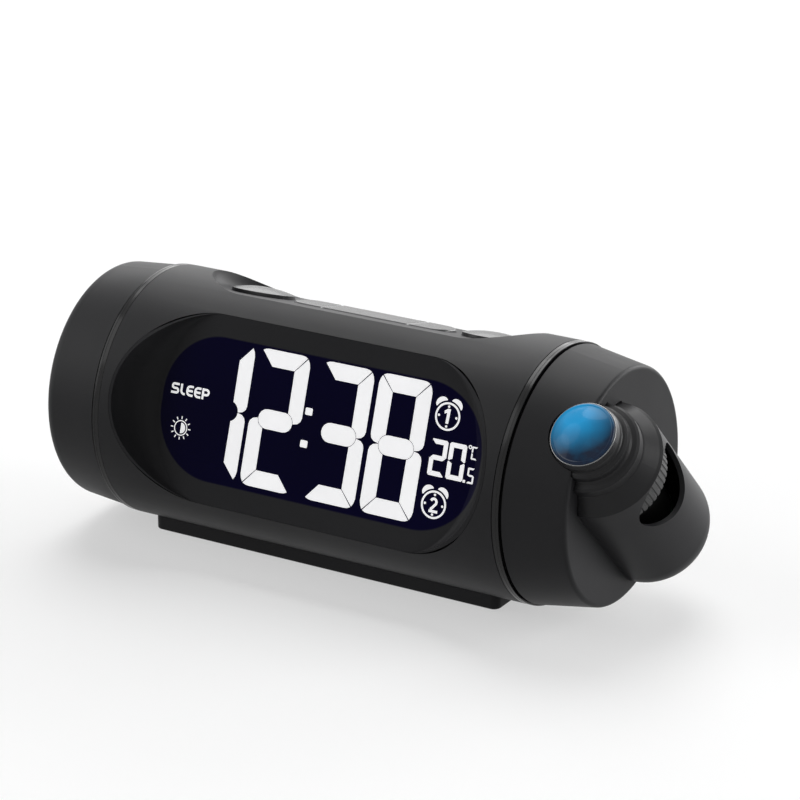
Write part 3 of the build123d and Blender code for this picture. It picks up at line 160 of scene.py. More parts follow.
def circuitBoard(name, look):
    # green mask over a net of copper tracks, with specks of solder
    material, tree, shader, place = startMaterial(name)
    tracks = tree.nodes.new("ShaderNodeTexBrick")
    tracks.inputs["Scale"].default_value = look["trackScale"]
    tracks.inputs["Mortar Size"].default_value = look["trackWidth"]
    tracks.inputs["Color1"].default_value = (*look["mask"], 1.0)
    tracks.inputs["Color2"].default_value = (*look["maskLight"], 1.0)
    tracks.inputs["Mortar"].default_value = (*look["track"], 1.0)
    tree.links.new(place.outputs["Object"], tracks.inputs["Vector"])
    specks = tree.nodes.new("ShaderNodeTexVoronoi")
    specks.inputs["Scale"].default_value = look["speckScale"]
    tree.links.new(place.outputs["Object"], specks.inputs["Vector"])
    solder = addMath(tree, "LESS_THAN", specks.outputs["Distance"], look["speckReach"])
    blend = tree.nodes.new("ShaderNodeMix")
    blend.data_type = "RGBA"
    blend.inputs[7].default_value = (*look["solder"], 1.0)
    tree.links.new(solder.outputs["Value"], blend.inputs[0])
    tree.links.new(tracks.outputs["Color"], blend.inputs[6])
    tree.links.new(blend.outputs[2], shader.inputs["Base Color"])
    wear = addNoise(tree, place, look["wearScale"])
    tree.links.new(addRange(tree, wear, *look["rough"]), shader.inputs["Roughness"])
    addBump(tree, tracks.outputs["Fac"], shader, look["trackDepth"] * mm)
    return material


lensHaze = {"scale": 260.0, "detail": 3.0, "strength": 0.25, "shift": -0.12, "coatRough": 0.02}


def lensGlowAndPaintedReflection(name, look):
    # dark glass with a blue coating; its emission, brightest towards its upper part, is partly the
    # projector's glow and partly a painted reflection
    material, tree, shader, place = startMaterial(name)
    shader.inputs["Roughness"].default_value = look["rough"]
    shader.inputs["Specular IOR Level"].default_value = look["specular"]
    shader.inputs["Coat Weight"].default_value = look["coat"]
    shader.inputs["Coat Roughness"].default_value = lensHaze["coatRough"]
    # emission fades with distance from a set spot near the lens's upper part: partly glow, partly a painted
    # reflection
    shift = tree.nodes.new("ShaderNodeMapping")
    shift.vector_type = "POINT"
    shift.inputs["Location"].default_value = [-v * mm for v in look["glowAndReflectionMiddle"]]
    tree.links.new(place.outputs["Object"], shift.inputs["Vector"])
    reach = tree.nodes.new("ShaderNodeVectorMath")
    reach.operation = "LENGTH"
    tree.links.new(shift.outputs["Vector"], reach.inputs[0])
    fade = tree.nodes.new("ShaderNodeMapRange")
    fade.inputs["From Min"].default_value = look["glowAndReflectionReach"][0] * mm
    fade.inputs["From Max"].default_value = look["glowAndReflectionReach"][1] * mm
    tree.links.new(reach.outputs["Value"], fade.inputs["Value"])
    haze = addNoise(tree, place, lensHaze["scale"], lensHaze["detail"])
    cloud = addMath(tree, "MULTIPLY_ADD", haze, lensHaze["strength"])
    cloud.inputs[2].default_value = lensHaze["shift"]
    total = addMath(tree, "ADD", fade.outputs["Result"])
    tree.links.new(cloud.outputs["Value"], total.inputs[1])
    glow = addRamp(tree, total.outputs["Value"], look["glow"], look["deep"], 0.0, 1.0)
    tree.links.new(glow, shader.inputs["Emission Color"])
    tree.links.new(addRamp(tree, haze, look["dark"], look["light"]), shader.inputs["Base Color"])
    shader.inputs["Emission Strength"].default_value = look["strength"]
    return material


glassWear = {"tintScale": 120.0, "wearScale": 700.0, "rough": (0.01, 0.04)}


def clearGlass(name, look):
    material, tree, shader, place = startMaterial(name)
    shader.inputs["Transmission Weight"].default_value = 1.0
    shader.inputs["IOR"].default_value = look["ior"]
    tint = addNoise(tree, place, glassWear["tintScale"])
    tree.links.new(addRamp(tree, tint, look["dark"], look["light"]), shader.inputs["Base Color"])
    wear = addNoise(tree, place, glassWear["wearScale"])
    tree.links.new(addRange(tree, wear, *glassWear["rough"]), shader.inputs["Roughness"])
    return material


def displayGlass(name, look, field):
    # glossy black window with the display's indigo field behind it
    material = mouldedPlastic(name, look)
    tree = material.node_tree
    shader = next(n for n in tree.nodes if n.type == "BSDF_PRINCIPLED")
    place = next(n for n in tree.nodes if n.type == "TEX_COORD")
    surround = shader.inputs["Base Color"].links[0].from_socket
    turn = math.radians(field["tilt"] - 90.0)
    rotated = Matrix.Rotation(turn, 3, "X")
    middle = rotated @ Vector(field["middle"]) + Vector((*field["shift"], 0.0))
    level = tree.nodes.new("ShaderNodeMapping")
    level.inputs["Location"].default_value = -middle * mm
    level.inputs["Rotation"].default_value = (turn, 0.0, 0.0)
    tree.links.new(place.outputs["Object"], level.inputs["Vector"])
    parts = tree.nodes.new("ShaderNodeSeparateXYZ")
    tree.links.new(level.outputs["Vector"], parts.inputs["Vector"])
    beyond = tree.nodes.new("ShaderNodeCombineXYZ")
    for axis, half in zip("XY", field["half"]):
        size = addMath(tree, "ABSOLUTE", parts.outputs[axis])
        past = addMath(tree, "SUBTRACT", size.outputs[0], (half - field["corner"]) * mm)
        clear = addMath(tree, "MAXIMUM", past.outputs[0], 0.0)
        tree.links.new(clear.outputs[0], beyond.inputs[axis])
    reach = tree.nodes.new("ShaderNodeVectorMath")
    reach.operation = "LENGTH"
    tree.links.new(beyond.outputs["Vector"], reach.inputs[0])
    edge = tree.nodes.new("ShaderNodeMapRange")
    edge.inputs["From Min"].default_value = (field["corner"] - field["soft"]) * mm
    edge.inputs["From Max"].default_value = field["corner"] * mm
    tree.links.new(reach.outputs["Value"], edge.inputs["Value"])
    cloud = addNoise(tree, place, field["cloudScale"])
    indigo = addRamp(tree, cloud, field["dark"], field["light"])
    blend = tree.nodes.new("ShaderNodeMix")
    blend.data_type = "RGBA"
    tree.links.new(edge.outputs["Result"], blend.inputs[0])
    tree.links.new(indigo, blend.inputs[6])
    tree.links.new(surround, blend.inputs[7])
    tree.links.new(blend.outputs[2], shader.inputs["Base Color"])
    return material


def litFigures(name, look):
    # backlit white figures under the window
    material, tree, shader, place = startMaterial(name)
    cell = addNoise(tree, place, look["cellScale"])
    tree.links.new(addRamp(tree, cell, look["dark"], look["light"]), shader.inputs["Base Color"])
    tree.links.new(addRange(tree, cell, *look["rough"]), shader.inputs["Roughness"])
    shader.inputs["Emission Color"].default_value = (*look["light"], 1.0)
    shader.inputs["Emission Strength"].default_value = look["strength"]
    shader.inputs["Specular IOR Level"].default_value = look["specular"]
    return material


windowLook = {
    "dark": (0.03, 0.03, 0.032), "light": (0.035, 0.035, 0.037), "cloudScale": 9.0, "wearScale": 30.0,
    "rough": (0.18, 0.22), "grainScale": 1800.0, "grainDepth": 0.002, "specular": 0.025}

finishes = {
    "black_case": mouldedPlastic("mattBlackCase", {
        "dark": (0.0115, 0.0115, 0.0125), "light": (0.0155, 0.0155, 0.017),
        "cloudScale": 18.0, "wearScale": 45.0, "rough": (0.42, 0.52),
        "grainScale": 2600.0, "grainDepth": 0.012, "specular": 0.14}),
    "bright_trim": mouldedPlastic("polishedRing", {
        "dark": (0.006, 0.006, 0.0065), "light": (0.009, 0.009, 0.0095),
        "cloudScale": 20.0, "wearScale": 60.0, "rough": (0.14, 0.2),
        "grainScale": 1800.0, "grainDepth": 0.002, "specular": 0.22}),
    "inner_plastic": mouldedPlastic("innerBlack", {
        "dark": (0.012, 0.012, 0.012), "light": (0.02, 0.02, 0.02),
        "cloudScale": 40.0, "wearScale": 90.0, "rough": (0.5, 0.65),
        "grainScale": 1500.0, "grainDepth": 0.02, "specular": 0.3}),
    "wheel_plastic": mouldedPlastic("wheelBlack", {
        "dark": (0.009, 0.009, 0.0095), "light": (0.015, 0.015, 0.0155),
        "cloudScale": 60.0, "wearScale": 120.0, "rough": (0.38, 0.5),
        "grainScale": 1800.0, "grainDepth": 0.01, "specular": 0.4}),
    "window_gloss": mouldedPlastic("windowSurround", windowLook),
    "lcd_glass": mouldedPlastic("darkDisplayGlass", {
        "dark": (0.0025, 0.0018, 0.0085), "light": (0.0035, 0.0025, 0.012),
        "cloudScale": 12.0, "wearScale": 25.0, "rough": (0.05, 0.08),
        "grainScale": 120.0, "grainDepth": 0.002, "specular": 0.3}),
    "clear_plastic": clearGlass("clearAcrylic", {
        "ior": 1.49, "dark": (0.9, 0.92, 0.95), "light": (0.97, 0.98, 1.0)}),
    "circuit_board": circuitBoard("greenBoard", {
        "mask": (0.012, 0.07, 0.03), "maskLight": (0.016, 0.085, 0.036), "track": (0.03, 0.13, 0.055),
        "trackScale": 160.0, "trackWidth": 0.035, "trackDepth": 0.02, "solder": (0.55, 0.56, 0.58),
        "speckScale": 300.0, "speckReach": 0.16, "wearScale": 900.0, "rough": (0.25, 0.4)}),
    "component_black": mouldedPlastic("componentBlack", {
        "dark": (0.012, 0.012, 0.013), "light": (0.022, 0.022, 0.023),
        "cloudScale": 90.0, "wearScale": 200.0, "rough": (0.4, 0.6),
        "grainScale": 2200.0, "grainDepth": 0.01, "specular": 0.4}),
    "speaker_steel": plainMetal("zincPlate", {
        "dark": (0.42, 0.42, 0.43), "light": (0.6, 0.6, 0.61),
        "stretch": (1.0, 6.0, 6.0), "brushScale": 90.0, "rough": (0.28, 0.45)}),
    "speaker_paper": mouldedPlastic("pressedPaper", {
        "dark": (0.016, 0.016, 0.016), "light": (0.03, 0.029, 0.028),
        "cloudScale": 300.0, "wearScale": 400.0, "rough": (0.8, 0.95),
        "grainScale": 1600.0, "grainDepth": 0.06, "specular": 0.2}),
    "key_gloss": mouldedPlastic("satinKeys", {
        "dark": (0.011, 0.011, 0.012), "light": (0.016, 0.016, 0.017),
        "cloudScale": 25.0, "wearScale": 70.0, "rough": (0.22, 0.3),
        "grainScale": 1400.0, "grainDepth": 0.004, "specular": 0.42}),
    "foot_rubber": mouldedPlastic("footRubber", {
        "dark": (0.014, 0.014, 0.014), "light": (0.022, 0.022, 0.022),
        "cloudScale": 80.0, "wearScale": 150.0, "rough": (0.8, 0.92),
        "grainScale": 900.0, "grainDepth": 0.03, "specular": 0.2}),
    "cell_sleeve": mouldedPlastic("cellSleeve", {
        "dark": (0.02, 0.02, 0.026), "light": (0.034, 0.034, 0.042),
        "cloudScale": 60.0, "wearScale": 120.0, "rough": (0.2, 0.3),
        "grainScale": 500.0, "grainDepth": 0.006, "specular": 0.5}),
    "contact_metal": plainMetal("nickelContacts", {
        "dark": (0.6, 0.58, 0.54), "light": (0.74, 0.72, 0.68),
        "stretch": (3.0, 1.0, 3.0), "brushScale": 260.0, "rough": (0.18, 0.3)}),
    "screw_steel": plainMetal("darkScrewSteel", {
        "dark": (0.2, 0.2, 0.205), "light": (0.32, 0.32, 0.325),
        "stretch": (4.0, 4.0, 1.0), "brushScale": 300.0, "rough": (0.3, 0.45)}),
    "washer_plastic": mouldedPlastic("acetalWasher", {
        "dark": (0.7, 0.69, 0.65), "light": (0.78, 0.77, 0.73),
        "cloudScale": 60.0, "wearScale": 90.0, "rough": (0.35, 0.5),
        "grainScale": 900.0, "grainDepth": 0.01, "specular": 0.4}),
    "washer_steel": plainMetal("retainerSteel", {
        "dark": (0.45, 0.45, 0.46), "light": (0.6, 0.6, 0.61),
        "stretch": (1.0, 5.0, 5.0), "brushScale": 180.0, "rough": (0.25, 0.4)}),
    "bezel_plastic": mouldedPlastic("satinNose", {
        "dark": (0.01, 0.01, 0.011), "light": (0.015, 0.015, 0.016),
        "cloudScale": 40.0, "wearScale": 80.0, "rough": (0.32, 0.42),
        "grainScale": 2400.0, "grainDepth": 0.006, "specular": 0.17}),
    "lens_glass": clearGlass("opticalGlass", {
        "ior": 1.52, "dark": (0.8, 0.88, 0.98), "light": (0.9, 0.95, 1.0)}),
    "led_blue": mouldedPlastic("blueLed", {
        "dark": (0.05, 0.2, 0.7), "light": (0.08, 0.28, 0.85),
        "cloudScale": 300.0, "wearScale": 300.0, "rough": (0.1, 0.2),
        "grainScale": 800.0, "grainDepth": 0.003, "specular": 0.5}),
}

for row in frame["record"]["subparts"]:
    node = nodes[row["node"]]
    finish = finishes[row["material_slot"]]
    if not node.data.materials:
        node.data.materials.append(finish)
    for spot in range(len(node.data.materials)):
        node.data.materials[spot] = finish

# where the display is, for its colour field and for its figures
display = {
    "middle": (-9.35, 0.0, 41.8), "tilt": 17.0, "floor": 27.338, "thickness": 0.04, "lean": 0.012,
    "flatHalf": 55.0, "castFrom": 20.0}
# front lens: its emission, brightest at its upper part, is partly the projector's glow and partly a painted
# reflection
frontLens = {
    "dark": (0.002, 0.004, 0.012), "light": (0.004, 0.008, 0.02), "rough": 0.04, "specular": 0.5, "coat": 1.0,
    "glowAndReflectionMiddle": (78.0, -26.0, 73.0), "glowAndReflectionReach": (1.0, 13.0),
    "glow": (0.0, 0.22, 0.5), "deep": (0.0, 0.006, 0.03), "strength": 0.8}
fieldLook = {
    "middle": display["middle"], "tilt": display["tilt"], "shift": (1.6, 0.1), "half": (56.6, 22.6),
    "corner": 20.5, "soft": 0.5, "cloudScale": 14.0,
    "dark": (0.0012, 0.0006, 0.017), "light": (0.002, 0.0011, 0.024)}
nodes["display_window"].data.materials[0] = displayGlass("displayWindow", windowLook, fieldLook)
nodes["front_lens"].data.materials[0] = lensGlowAndPaintedReflection("frontLensGlowAndPaintedReflection", frontLens)
whiteFigures = litFigures("litFigures", {
    "dark": (0.74, 0.74, 0.75), "light": (0.8, 0.8, 0.81), "cellScale": 60.0, "rough": (0.3, 0.36),
    "specular": 0.2, "strength": 0.62})
print("materials set on", len(nodes), "nodes")


# display
def displayFacing():
    tilt = math.radians(display["tilt"])
    return Vector((0.0, -math.cos(tilt), math.sin(tilt)))


def displayPlace():
    # turns flat drawings, drawn in x and y, onto the window's floor
    facing = displayFacing()
    upward = Vector((0.0, facing.z, -facing.y))
    basis = Matrix((Vector((1.0, 0.0, 0.0)), upward, facing)).transposed().to_4x4()
    spot = (Vector(display["middle"]) + facing * display["floor"]) * mm
    return Matrix.Translation(spot) @ basis


windowMesh = BVHTree.FromObject(nodes["display_window"], bpy.context.evaluated_depsgraph_get())


def drape(piece):
    # lifts what lies over the window's rising ends onto them
    facing = displayFacing()
    floor = (Vector(display["middle"]) + facing * display["floor"]).dot(facing) * mm
    for point in piece.data.vertices:
        if abs(point.co.x / mm - display["middle"][0]) > display["flatHalf"]:
            hit = windowMesh.ray_cast(point.co + facing * display["castFrom"] * mm, -facing)[0]
            if hit:
                point.co += facing * max(0.0, hit.dot(facing) - floor)


def addFigures(name, outlines):
    # closed outlines in mm become one thin plate of lit figures on the window's floor
    bpy.ops.object.select_all(action="DESELECT")
    drawing = bpy.data.curves.new(name, "CURVE")
    drawing.dimensions = "2D"
    drawing.fill_mode = "BOTH"
    drawing.extrude = display["thickness"] / 2 * mm
    for outline in outlines:
        line = drawing.splines.new("POLY")
        line.points.add(len(outline) - 1)
        for point, (x, y) in zip(line.points, outline):
            point.co = (x * mm, y * mm, 0.0, 1.0)
        line.use_cyclic_u = True
    piece = bpy.data.objects.new(name, drawing)
    bpy.context.scene.collection.objects.link(piece)
    piece.select_set(True)
    bpy.context.view_layer.objects.active = piece
    bpy.ops.object.convert(target="MESH")
    piece = bpy.context.object
    piece.data.transform(Matrix.Translation((0.0, 0.0, display["thickness"] / 2 * mm)))
    piece.data.transform(displayPlace())
    drape(piece)
    piece.data.materials.clear()
    piece.data.materials.append(whiteFigures)
    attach(piece, "clock_body")


def arc(middle, radius, start, end, steps=8):
    points = []
    for step in range(steps + 1):
        angle = math.radians(start + (end - start) * step / steps)
        points.append((middle[0] + radius * math.cos(angle), middle[1] + radius * math.sin(angle)))
    return points


def circle(middle, radius, count):
    return arc(middle, radius, 0, 360 - 360 / count, count - 1)


def roundedBox(middle, half, corner, steps=10):
    x, y = half[0] - corner, half[1] - corner
    points = []
    for side, start in (((1, 1), 0), ((-1, 1), 90), ((-1, -1), 180), ((1, -1), 270)):
        spot = (middle[0] + side[0] * x, middle[1] + side[1] * y)
        points += arc(spot, corner, start, start + 90, steps)
    return points


def turned(points, flipX=None, flipY=None):
    # mirrors an outline and keeps its direction
    out = []
    for x, y in points:
        out.append((flipX - x if flipX is not None else x, flipY - y if flipY is not None else y))
    if (flipX is None) != (flipY is None):
        out.reverse()
    return out


def moved(outlines, x, y=0.0, lean=0.0):
    return [[(x + px + lean * py, y + py) for px, py in outline] for outline in outlines]


# one large figure, its right edge at x = 0
figure = {
    "width": 18.3, "top": 21.75, "inner": 16.5, "stroke": 5.1, "middle": 0.65, "pill": 3.0, "pillShift": 1.0,
    "gap": 0.14, "notch": (2.0, 70.0)}


def largeFigure(parts):
    f = figure
    pillX = -f["stroke"] - f["pillShift"]
    mirrorY = 2 * f["middle"]
    bar = [(-1.2, 21.15), (-2.2, 21.6), (-3.4, f["top"]), (3.4 - f["width"], f["top"]),
           (2.2 - f["width"], 21.6), (1.2 - f["width"], 21.15),
           (f["stroke"] + 0.1 - f["width"], f["inner"] + 0.1), (-f["stroke"] - 0.1, f["inner"] + 0.1)]
    side = [(-0.95, 20.9), (-0.35, 19.9), (0.0, 18.5), (0.0, 3.1), (-0.35, 1.95), (-1.3, 1.1), (-2.6, 0.78)]
    side += arc((pillX, f["middle"]), f["pill"] + f["gap"], *f["notch"]) + [(-f["stroke"], f["inner"] - 0.1)]
    pill = arc((pillX, f["middle"]), f["pill"], -90, 90)
    pill += arc((-f["width"] - pillX, f["middle"]), f["pill"], 90, 270)
    shapes = {
        "a": bar, "d": turned(bar, flipY=mirrorY), "b": side, "c": turned(side, flipY=mirrorY),
        "f": turned(side, flipX=-f["width"]), "e": turned(side, flipX=-f["width"], flipY=mirrorY), "g": pill}
    return [shapes[part] for part in parts]


timeFigures = (("bc", -24.05), ("abged", -4.3), ("abgcd", 18.2), ("abcdefg", 38.25))
colon = {"spots": ((-2.2, 5.6), (-2.35, -4.3)), "half": (1.25, 1.1), "corner": 0.35}
timeOutlines = []
for parts, edge in timeFigures:
    timeOutlines += moved(largeFigure(parts), edge, lean=display["lean"])
for spot in colon["spots"]:
    timeOutlines.append(roundedBox(spot, colon["half"], colon["corner"], 3))
addFigures("timeFigures", timeOutlines)


def smallSegments(parts, width, height, stroke, gap):
    # a figure drawn from its lower left corner
    w, h, s, g = width, height, stroke, gap
    half, cut = h / 2, stroke * 0.32
    bar = [(cut / 2 + g, h - cut / 2), (cut, h), (w - cut, h), (w - cut / 2 - g, h - cut / 2),
           (w - s - g, h - s), (s + g, h - s)]
    side = [(w - cut / 2, h - cut / 2 - g), (w, h - cut), (w, half + s * 0.28),
            (w - s * 0.2, half + s * 0.05 + g), (w - s, half + s / 2 + g), (w - s, h - s - g)]
    mid = [(s * 0.22, half), (s * 0.85, half + s / 2), (w - s, half + s / 2), (w - s * 0.22, half),
           (w - s * 0.85, half - s / 2), (s, half - s / 2)]
    shapes = {
        "a": bar, "d": turned(bar, flipY=h), "b": side, "c": turned(side, flipY=h),
        "f": turned(side, flipX=w), "e": turned(side, flipX=w, flipY=h), "g": mid}
    return [shapes[part] for part in parts]


# each figure's segments, lower left corner, width, height and stroke
temperature = {
    "figures": (
        ("abged", (40.7, -5.2), 5.6, 10.9, 1.42), ("abcdef", (46.9, -5.2), 5.75, 10.9, 1.42),
        ("afgcd", (53.95, -5.2), 2.3, 4.65, 0.56), ("afed", (54.3, 1.9), 1.95, 3.85, 0.46)),
    "gap": 0.03, "point": (53.2, -4.82), "pointHalf": (0.42, 0.42), "pointCorner": 0.1,
    "degree": (53.64, 5.42), "degreeRing": (0.6, 0.3)}
warmth = []
for parts, corner, width, height, stroke in temperature["figures"]:
    warmth += moved(smallSegments(parts, width, height, stroke, temperature["gap"]), *corner)
warmth.append(roundedBox(temperature["point"], temperature["pointHalf"], temperature["pointCorner"], 2))
warmth += [circle(temperature["degree"], radius, 16) for radius in temperature["degreeRing"]]
addFigures("temperatureFigures", warmth)

alarms = {
    "middles": ((44.65, 12.8), (44.47, -13.57)), "ring": (4.2, 3.6), "dots": 2.95, "dotRadius": 0.38,
    "bell": 56.5, "bellSpread": 25.0, "bellLap": 2.0, "bellFoot": 4.75, "bellHalf": 2.08, "bellBase": 4.45,
    "bellRise": 1.75, "bellSteps": 12}


def bellShape(middle, turn):
    # a dome whose foot follows the clock's ring
    a = alarms
    out = Vector((math.cos(math.radians(turn)), math.sin(math.radians(turn))))
    side = Vector((out.y, -out.x))
    base = Vector(middle) + out * a["bellBase"]
    points = []
    for step in range(a["bellSteps"] + 1):
        angle = math.pi * step / a["bellSteps"]
        points.append(tuple(
            base + side * a["bellHalf"] * math.cos(angle) + out * a["bellRise"] * math.sin(angle)))
    start, end = turn + a["bellSpread"] - a["bellLap"], turn - a["bellSpread"] + a["bellLap"]
    return points + arc(middle, a["bellFoot"], start, end)


bells = []
for middle in alarms["middles"]:
    bells += [circle(middle, radius, 48) for radius in alarms["ring"]]
    for turn in (0, 90, 180, 270):
        angle = math.radians(turn)
        spot = (middle[0] + alarms["dots"] * math.cos(angle), middle[1] + alarms["dots"] * math.sin(angle))
        bells.append(circle(spot, alarms["dotRadius"], 12))
    bells += [bellShape(middle, alarms["bell"]), bellShape(middle, 180.0 - alarms["bell"])]
addFigures("alarmIcons", bells)


def strokeShape(points, width):
    # outline of a line drawn with a broad pen
    left, right = [], []
    for spot, point in enumerate(points):
        before = Vector(points[max(spot - 1, 0)])
        after = Vector(points[min(spot + 1, len(points) - 1)])
        along = (after - before).normalized()
        side = Vector((-along.y, along.x)) * width / 2
        left.append(tuple(Vector(point) + side))
        right.append(tuple(Vector(point) - side))
    return left + right[::-1]


# the numbers in the two alarm clocks
alarmPen = 0.78
alarmOne = [(44.22, 10.68), (45.16, 10.68), (45.4, 15.1), (44.5, 15.1), (43.4, 14.35), (43.48, 13.5),
            (44.36, 13.9)]
alarmTwoCurve = arc((44.4, -12.75), 0.95, 165, -35, 9) + [(44.3, -14.35), (43.6, -15.12)]
alarmTwoFoot = [(43.1, -15.95), (46.1, -15.95), (46.05, -15.16), (43.1, -15.16)]
addFigures("alarmNumbers", [alarmOne, strokeShape(alarmTwoCurve, alarmPen), alarmTwoFoot])

sun = {
    "middle": (-46.55, -7.72), "ring": (2.4, 2.08), "half": 1.66,
    "rays": 12, "rayFrom": 2.75, "rayTo": 3.62, "ray": 0.17}
rays = [circle(sun["middle"], radius, 45) for radius in sun["ring"]]
rays.append(arc(sun["middle"], sun["half"], -90, 90, 16))
for ray in range(sun["rays"]):
    angle = 2 * math.pi * ray / sun["rays"]
    along = Vector((math.cos(angle), math.sin(angle)))
    side = Vector((-along.y, along.x)) * sun["ray"]
    start = Vector(sun["middle"]) + along * sun["rayFrom"]
    end = Vector(sun["middle"]) + along * sun["rayTo"]
    rays.append([tuple(start + side), tuple(start - side), tuple(end - side), tuple(end + side)])
addFigures("brightnessIcon", rays)

# each letter's left edge and width
sleep = {
    "base": 2.35, "height": 3.4, "pen": 0.7, "turn": 1.05, "smallBowl": 0.8, "lap": 0.01, "letters": (
        ("S", -51.92, 2.85), ("L", -48.62, 1.75), ("E", -46.45, 2.5), ("E", -43.55, 2.45),
        ("P", -40.7, 2.75))}


def wideLetter(letter, width):
    # drawn from its lower left corner with one pen
    half = sleep["pen"] / 2
    top, low, wide, turn = sleep["height"] - half, half, width, sleep["turn"]
    mid, near = (top + low) / 2, sleep["pen"] + sleep["lap"]
    if letter == "S":
        bowl = (top - mid) / 2
        line = [(wide - 0.1, top)] + arc((half + bowl, top - bowl), bowl, 90, 270, 10)
        line += arc((wide - half - bowl, low + bowl), bowl, 90, -90, 10) + [(0.0, low)]
        return [strokeShape(line, sleep["pen"])]
    if letter == "L":
        line = [(half, sleep["height"])] + arc((half + turn, low + turn), turn, 180, 270, 6) + [(wide, low)]
        return [strokeShape(line, sleep["pen"])]
    if letter == "E":
        line = [(wide, top)] + arc((half + turn, top - turn), turn, 90, 180, 6)
        line += arc((half + turn, low + turn), turn, 180, 270, 6) + [(wide, low)]
        far = wide - 0.15
        bar = [(near, mid - half), (far, mid - half), (far, mid + half), (near, mid + half)]
        return [strokeShape(line, sleep["pen"]), bar]
    bowl = sleep["smallBowl"]
    line = [(near, top)] + arc((wide - half - bowl, top - bowl), bowl, 90, -90, 10)
    line += [(near, top - 2 * bowl)]
    stem = [(0.0, 0.0), (sleep["pen"], 0.0), (sleep["pen"], sleep["height"]), (0.0, sleep["height"])]
    return [strokeShape(line, sleep["pen"]), stem]


letters = []
for letter, start, width in sleep["letters"]:
    letters += moved(wideLetter(letter, width), start, sleep["base"])
addFigures("sleepWord", letters)
print("display drawn")

# pieces turned from a profile
weld = 0.001  # mm between points that are made one


def spinProfile(name, profile, height, axis, steps, smooth):
    # turns a closed profile in mm about an axis at a height over the origin
    bpy.ops.object.select_all(action="DESELECT")
    bpy.ops.mesh.primitive_circle_add(vertices=len(profile), radius=mm, fill_type="NOTHING")
    piece = bpy.context.object
    piece.name = name
    for point, spot in zip(piece.data.vertices, profile):
        point.co = [value * mm for value in spot]
    bpy.ops.object.mode_set(mode="EDIT")
    bpy.ops.mesh.select_all(action="SELECT")
    bpy.ops.mesh.spin(steps=steps, angle=2 * math.pi, center=(0.0, 0.0, height * mm), axis=axis)
    bpy.ops.mesh.select_all(action="SELECT")
    bpy.ops.mesh.remove_doubles(threshold=weld * mm)
    bpy.ops.mesh.normals_make_consistent(inside=False)
    bpy.ops.object.mode_set(mode="OBJECT")
    bpy.ops.object.shade_smooth_by_angle(angle=math.radians(smooth))
    return piece


# rings between the body and its end pieces, each profile from the body along the axis, its seam at the end
ringLook = {
    "axisHeight": 41.8, "outer": 40.0, "ends": ((-78.65, -1.0), (59.95, 1.0)), "steps": 180, "smooth": 32.0,
    "profile": (
        (0.0, -4.0), (0.0, -0.5), (0.1, -0.5), (0.14, -0.12), (0.26, -0.03), (1.3, -0.02), (1.38, -0.1),
        (1.5, -0.1), (1.58, -0.02), (2.2, -0.04), (2.32, -0.14), (2.36, -1.6), (2.8, -1.6), (2.8, -4.0))}


def addRing(name, start, side):
    height, outer = ringLook["axisHeight"], ringLook["outer"]
    profile = [(start + side * along, 0.0, height + outer + out) for along, out in ringLook["profile"]]
    ring = spinProfile(name, profile, height, (1.0, 0.0, 0.0), ringLook["steps"], ringLook["smooth"])
    ring.data.materials.append(finishes["bright_trim"])
    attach(ring, "clock_body")
    return ring


for name, (start, side) in zip(("trim_ring_left", "trim_ring_right"), ringLook["ends"]):
    ring = addRing(name + "_turned", start, side)
    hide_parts(name)
print("rings turned")

# coated cover of the lens, its emission partly the projector's glow and partly a painted reflection, and the
# thin ring round it, its grey partly a painted highlight, placed along the beam
lensFront = {"middle": (82.65, -0.5587, 41.2274), "elevation": 44.3, "steps": 96}
lensRing = {"station": 37.62, "radius": 9.78, "wire": 0.2, "wireSteps": 12}
# the ring's grey, lighter than the black nose, is a painted highlight along its edge; its gloss and coat also
# reflect the lamps
lensRingLook = {
    "dark": (0.05, 0.055, 0.06), "light": (0.08, 0.085, 0.09), "cloudScale": 60.0, "wearScale": 90.0,
    "rough": (0.08, 0.14), "grainScale": 400.0, "grainDepth": 0.002, "specular": 1.0,
    "coat": 1.0, "coatRough": 0.03}
lensCover = {
    "rim": ((9.66, 37.5), (9.6, 37.95), (9.36, 38.4), (9.05, 38.56), (8.8, 38.5), (8.66, 38.42)),
    "domeEdge": (8.45, 38.5), "domeRise": 2.4, "domeSteps": 12,
    "back": ((0.0, 38.05), (9.05, 38.05)), "smooth": 40.0}
# the cover's emission, centred near its upper part, is partly glow and partly a painted reflection
coverLook = {
    "dark": (0.003, 0.006, 0.014), "light": (0.006, 0.011, 0.024), "rough": 0.25, "specular": 0.08,
    "coat": 0.12, "glowAndReflectionMiddle": (79.8, -25.4, 71.2), "glowAndReflectionReach": (3.5, 12.0),
    "glow": (0.006, 0.27, 0.56), "deep": (0.001, 0.005, 0.016), "strength": 1.0}


def placeOnBeam(piece, station):
    lift = math.radians(lensFront["elevation"])
    beam = Vector((0.0, -math.cos(lift), math.sin(lift)))
    spot = (Vector(lensFront["middle"]) + beam * station) * mm
    piece.data.transform(Matrix.Translation(spot) @ beam.to_track_quat("Z", "Y").to_matrix().to_4x4())
    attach(piece, "projector")


def addLensRing():
    bpy.ops.object.select_all(action="DESELECT")
    bpy.ops.mesh.primitive_torus_add(
        major_segments=lensFront["steps"], minor_segments=lensRing["wireSteps"],
        major_radius=lensRing["radius"] * mm, minor_radius=lensRing["wire"] * mm)
    ring = bpy.context.object
    ring.name = "lensRing"
    bpy.ops.object.shade_smooth()
    ring.data.materials.append(mouldedPlastic("lensRingPaintedHighlight", lensRingLook))
    placeOnBeam(ring, lensRing["station"])


